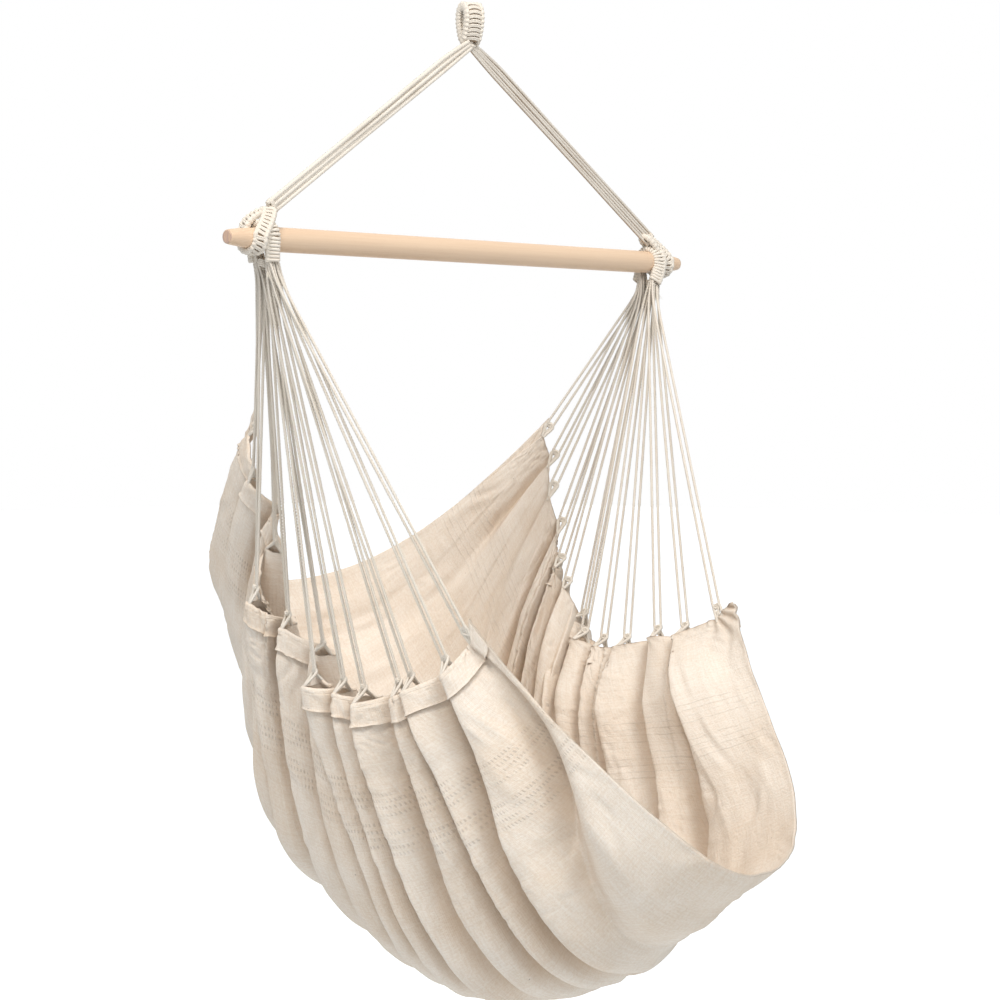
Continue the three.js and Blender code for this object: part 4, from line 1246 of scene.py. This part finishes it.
class HAMMOCK_OT_fan_cords(bpy.types.Operator):
    """Strings the cords of the two fans from the bar's rings to the hem loops"""
    bl_idname = "hammock.fan_cords"
    bl_label = "Fan cords"

    def execute(self, context):
        s = sizes()
        for word, side in SIDES:
            for rank, i in enumerate(fan_order(side)):
                path = fan_path(side, i, rank)
                skin = Skin().add(*twisted(path, s.fan_cord, 0.014, phase=1.7 * i))
                skin.piece(f"strung_cord_{word}_{i + 1:02d}", cord_finish(), "seat", "cotton_cord",
                           f"fan_cord_{word}_{i + 1:02d}")
        return {"FINISHED"}


class HAMMOCK_OT_bridle_cords(bpy.types.Operator):
    """Strings the five cords of each leg from its ring up to the eye"""
    bl_idname = "hammock.bridle_cords"
    bl_label = "Bridle cords"

    def execute(self, context):
        s = sizes()
        for word, side in SIDES:
            for number, k in enumerate(range(-2, 3), start=1):
                path = resample(leg_path(side, k), 0.003)
                wide = s.leg_cord * (1.28 if side < 0 and k % 2 == 0 else 1.0)
                skin = Skin().add(*blended(path, wide, 16, turn=-math.pi / 6))
                skin.piece(f"leg_strand_{word}_{number}", leg_finish(side), "bridle", "cotton_cord",
                           f"leg_cord_{word}_{number}")
        return {"FINISHED"}


class HAMMOCK_OT_rings(bpy.types.Operator):
    """Winds the bridle's rings and the seat's rings on the bar"""
    bl_idname = "hammock.rings"
    bl_label = "Wound rings"

    def execute(self, context):
        cord = sizes().wrap_cord
        for word, side in SIDES:
            self.bridle_ring(word, side, cord)
            self.seat_ring(word, side, cord)
        return {"FINISHED"}

    def bridle_ring(self, word, side, cord):
        band = Band(bridle_ring_centre(side), bar_line, 0.0078, 0.0013)
        skin = Skin()
        band.core(skin)
        pitch = band.pairs(skin, cord, 0.0070, 0.0024 * side, 0.0, 0.68)
        for edge in (-1, 1):
            band.rail(skin, cord, edge, pitch)
        head = bridle_ring_centre(side)(0.0)
        direction = leg_direction(side)
        wide = unit(np.cross(direction, Y))
        a = around(32)[:, None]
        low = 0.0085 if side < 0 else -0.0095
        for along, size in ((low, 0.0026), (low + 0.0022, 0.0027), (low + 0.0044, 0.0024)):
            ring = head + direction * along + wide * 0.0112 * squared(np.cos(a), 0.6) \
                + Y * 0.0038 * squared(np.sin(a), 0.8)
            hoop(skin, ring, size)
        skin.piece(f"bridle_band_{word}", wrap_finish(), "bridle", "cotton_wrap",
                   f"bridle_ring_{word}", f"bridle_ring_wrapping_{word}")

    def seat_ring(self, word, side, cord):
        band = Band(seat_ring_centre(side), self.inside_of, 0.0072, 0.0013, closed=False)
        skin = Skin()
        band.core(skin)
        pitch = 0.0051
        for at in np.arange(pitch / 2, band.length, pitch):
            band.wrap(skin, at, 0.0050, -0.0008, swell=-0.0007)
        outer = 1 if np.dot(band.frames(np.array([band.length / 2]))[2][0], X) * side > 0 else -1
        band.rail(skin, cord, outer, pitch)
        x = side * (sizes().bar_length / 2 - SEAT_RING_INSET)
        tie = np.array([x, -0.001, -sizes().bar_drop - 0.037])
        a = around(16)[:, None]
        for turn in range(4):
            ring = tie + Z * 0.0026 * (1.5 - turn) + (X - Z * 0.45) * 0.0072 * np.cos(a) \
                + Y * 0.0060 * np.sin(a)
            hoop(skin, ring, 0.0028, 6)
        frayed(skin, tie - Z * 0.003 - Y * 0.007, -Z - Y * 0.45, 0.022, 7 + side, strands=16, spread=0.22)
        skin.piece(f"seat_band_{word}", wrap_finish(), "seat", "cotton_wrap",
                   f"seat_ring_{word}", f"seat_ring_wrapping_{word}")

    @staticmethod
    def inside_of(at):
        """Places on the bar's axis or below it, drawn aside in front as the band lies turned."""
        line = np.zeros_like(at)
        line[..., 0] = at[..., 0] + 0.7 * np.maximum(-at[..., 1], 0)
        line[..., 2] = np.minimum(at[..., 2], -sizes().bar_drop)
        return line


class HAMMOCK_OT_eye(bpy.types.Operator):
    """Winds the hanging eye and the two bindings under it"""
    bl_idname = "hammock.eye"
    bl_label = "Hanging eye"

    def execute(self, context):
        cord = sizes().wrap_cord
        band = Band(eye_centre, eye_inside, EYE["half_wide"] + 0.0022, EYE["half_thick"] + 0.0010)
        skin = Skin()
        band.core(skin)
        pitch = band.pairs(skin, cord, 0.0061, 0.0, 0.0040, 0.6)
        for edge in (-1, 1):
            band.rail(skin, cord, edge, pitch)
        a = np.linspace(0.02, math.pi - 0.02, 9)
        foot = PIVOT + Z * 0.0048 * np.cos(a)[:, None]
        skin.add(*blended(foot, 0.0094, 12, taper=np.sin(a)))
        skin.piece("wound_eye", wrap_finish(), "eye", "cotton_wrap", "eye_core", "eye_wrapping")
        self.coil("whipping_coil", WHIPPING_RADIUS, "whipping", "neck_whipping")
        self.coil("knot_coil", KNOT_RADIUS, "knot", "neck_knot")
        return {"FINISHED"}

    @staticmethod
    def coil(name, radius, body, node):
        """A bowl of turns about the pivot, from its lowest point up."""
        skin = Skin()
        turn = around(24)[:, None]
        for angle in np.arange(0.0, 1.05, 0.0023 / radius):
            wide, deep = radius * math.sin(angle), radius * math.cos(angle)
            if wide < 0.002:
                skin.add(*blended(PIVOT - Z * (deep + np.array([[0.0012], [-0.0012]])), 0.004, 8))
                continue
            hoop(skin, PIVOT - Z * deep + X * wide * np.cos(turn) + Y * wide * np.sin(turn), 0.0025)
        skin.piece(name, wrap_finish(), body, "cotton_wrap", node)


class HAMMOCK_OT_bar(bpy.types.Operator):
    """Turns the spreader bar"""
    bl_idname = "hammock.bar"
    bl_label = "Spreader bar"

    def execute(self, context):
        s = sizes()
        sides, edge = 64, 0.0014
        half = s.bar_length / 2
        tip = [(half, s.tip_radius - edge), (half - edge * 0.3, s.tip_radius - edge * 0.3),
               (half - edge, s.tip_radius)]
        places = half - s.taper * np.linspace(0, 1, 20)[1:] ** 1.5
        right = tip + list(zip(places, bar_radius_at(places)))
        body = np.linspace(half - s.taper, -(half - s.taper), 60)[1:-1]
        profile = right + [(x, s.bar_radius) for x in body] + [(-x, r) for x, r in right[::-1]]
        rings = np.array([[(x, r * math.cos(t), r * math.sin(t)) for t in around(sides)]
                          for x, r in profile])
        faces = [face[::-1] for face in tube_faces(len(profile), sides)]
        skin = Skin().add(rings.reshape(-1, 3) - Z * s.bar_drop, faces)
        bar = skin.piece("turned_bar", beech_finish(), "bar", "beech", "spreader_bar")
        for end_face in (-2, -1):
            bar.data.polygons[len(faces) + end_face].use_smooth = False
        return {"FINISHED"}


# Lamps: name, place, what it points at, diameter, watts and tint.
LAMPS = (("key", (-3.85, -1.25, 4.2), (0.0, 0.0, -0.9), 1.6, 212, (1.0, 0.965, 0.925)),
         ("front", (-0.9, -3.3, 2.3), (0.0, 0.3, -0.9), 2.2, 98, (1.0, 0.985, 0.97)),
         ("fill", (-3.8, 1.6, 0.2), (0.0, 0.0, -0.9), 2.4, 8, (0.95, 0.97, 1.0)))
FLOOR_HALF, FLOOR_HEIGHT = 30.0, -1.95
# The photograph's camera: focal length in pixels of a square picture, place, tilt and turn.
FOCAL_PIXELS, PICTURE_PIXELS, SENSOR_MM = 2900, 1000, 36
CAMERA_PLACE = (-3.2457, -3.0898, -0.6272)
CAMERA_BELOW_LEVEL, CAMERA_TURN = 1.6145, -47


class HAMMOCK_OT_stage(bpy.types.Operator):
    """Lays the floor, lights the room and sets the camera"""
    bl_idname = "hammock.stage"
    bl_label = "Stage"

    def execute(self, context):
        self.floor()
        self.room(context.scene)
        for lamp in LAMPS:
            self.lamp(*lamp)
        self.camera(context.scene)
        return {"FINISHED"}

    @staticmethod
    def straight_rays(w):
        """1 for rays from the camera, also by way of a mirror or glass."""
        rays = w.node("LightPath")
        mirrored = w.math("MAXIMUM", rays.outputs["Is Glossy Ray"], rays.outputs["Is Transmission Ray"])
        return w.math("MAXIMUM", rays.outputs["Is Camera Ray"], mirrored)

    def floor(self):
        h, z = FLOOR_HALF, FLOOR_HEIGHT
        made, shader, w = new_material("White floor", 0.9)
        shader.inputs["Base Color"].default_value = (0.80, 0.845, 0.89, 1)
        shader.inputs["Emission Color"].default_value = (1, 1, 1, 1)
        w.put(shader.inputs["Emission Strength"], w.times(self.straight_rays(w), 0.75))
        corners = [(-h, -h, z), (h, -h, z), (h, h, z), (-h, h, z)]
        floor = new_object("floor", corners, [[0, 1, 2, 3]], made)

    def room(self, scene):
        """White as seen from the camera, and a dimmer light on the chair."""
        world = bpy.data.worlds.new("White room")
        scene.world = world
        world.use_nodes = True
        w = Wires(world.node_tree)
        world.node_tree.nodes.clear()
        seen = w.node("Background", {"Color": (1, 1, 1, 1), "Strength": 1.0})
        light = w.node("Background", {"Color": (0.99, 0.99, 0.985, 1), "Strength": 0.39})
        both = w.node("MixShader", {0: self.straight_rays(w), 1: light.outputs[0], 2: seen.outputs[0]})
        w.node("OutputWorld", {0: both.outputs[0]})

    @staticmethod
    def lamp(name, place, target, size, power, tint):
        data = bpy.data.lights.new(name, "AREA")
        data.shape = "DISK"
        data.size = size
        data.energy = power
        data.color = tint
        lamp = bpy.data.objects.new(name, data)
        lamp.location = place
        aim = Vector(np.array(target) - np.array(place))
        lamp.rotation_euler = aim.to_track_quat("-Z", "Y").to_euler()
        bpy.context.collection.objects.link(lamp)

    @staticmethod
    def camera(scene):
        data = bpy.data.cameras.new("photograph")
        data.sensor_width = SENSOR_MM
        data.lens = SENSOR_MM * FOCAL_PIXELS / PICTURE_PIXELS
        data.clip_end = 100
        camera = bpy.data.objects.new("photograph", data)
        camera.location = CAMERA_PLACE
        camera.rotation_euler = (math.radians(90 - CAMERA_BELOW_LEVEL), 0, math.radians(CAMERA_TURN))
        bpy.context.collection.objects.link(camera)
        scene.camera = camera
        scene.view_settings.view_transform = "Standard"


class HAMMOCK_PT_panel(bpy.types.Panel):
    """Steps and sizes of the hammock chair"""
    bl_idname = "HAMMOCK_PT_panel"
    bl_label = "Hammock chair"
    bl_space_type = "VIEW_3D"
    bl_region_type = "UI"
    bl_category = "Hammock"

    def draw(self, context):
        for step in STEPS:
            self.layout.operator(step.bl_idname)
        for group in (context.scene.hammock_sizes, context.scene.hammock_colours):
            for name in group.__annotations__:
                self.layout.prop(group, name)


STEPS = (HAMMOCK_OT_seat_cloth, HAMMOCK_OT_hem_loops, HAMMOCK_OT_fan_cords, HAMMOCK_OT_bridle_cords,
         HAMMOCK_OT_rings, HAMMOCK_OT_eye, HAMMOCK_OT_bar, HAMMOCK_OT_stage)
CLASSES = (HammockSizes, HammockColours) + STEPS + (HAMMOCK_PT_panel,)


def register():
    for each in CLASSES:
        bpy.utils.register_class(each)
    bpy.types.Scene.hammock_sizes = PointerProperty(type=HammockSizes)
    bpy.types.Scene.hammock_colours = PointerProperty(type=HammockColours)


def unregister():
    del bpy.types.Scene.hammock_colours
    del bpy.types.Scene.hammock_sizes
    for each in reversed(CLASSES):
        bpy.utils.unregister_class(each)


def main():
    register()
    for step in STEPS:
        group, name = step.bl_idname.split(".")
        getattr(getattr(bpy.ops, group), name)()


if __name__ == "__main__":
    main()
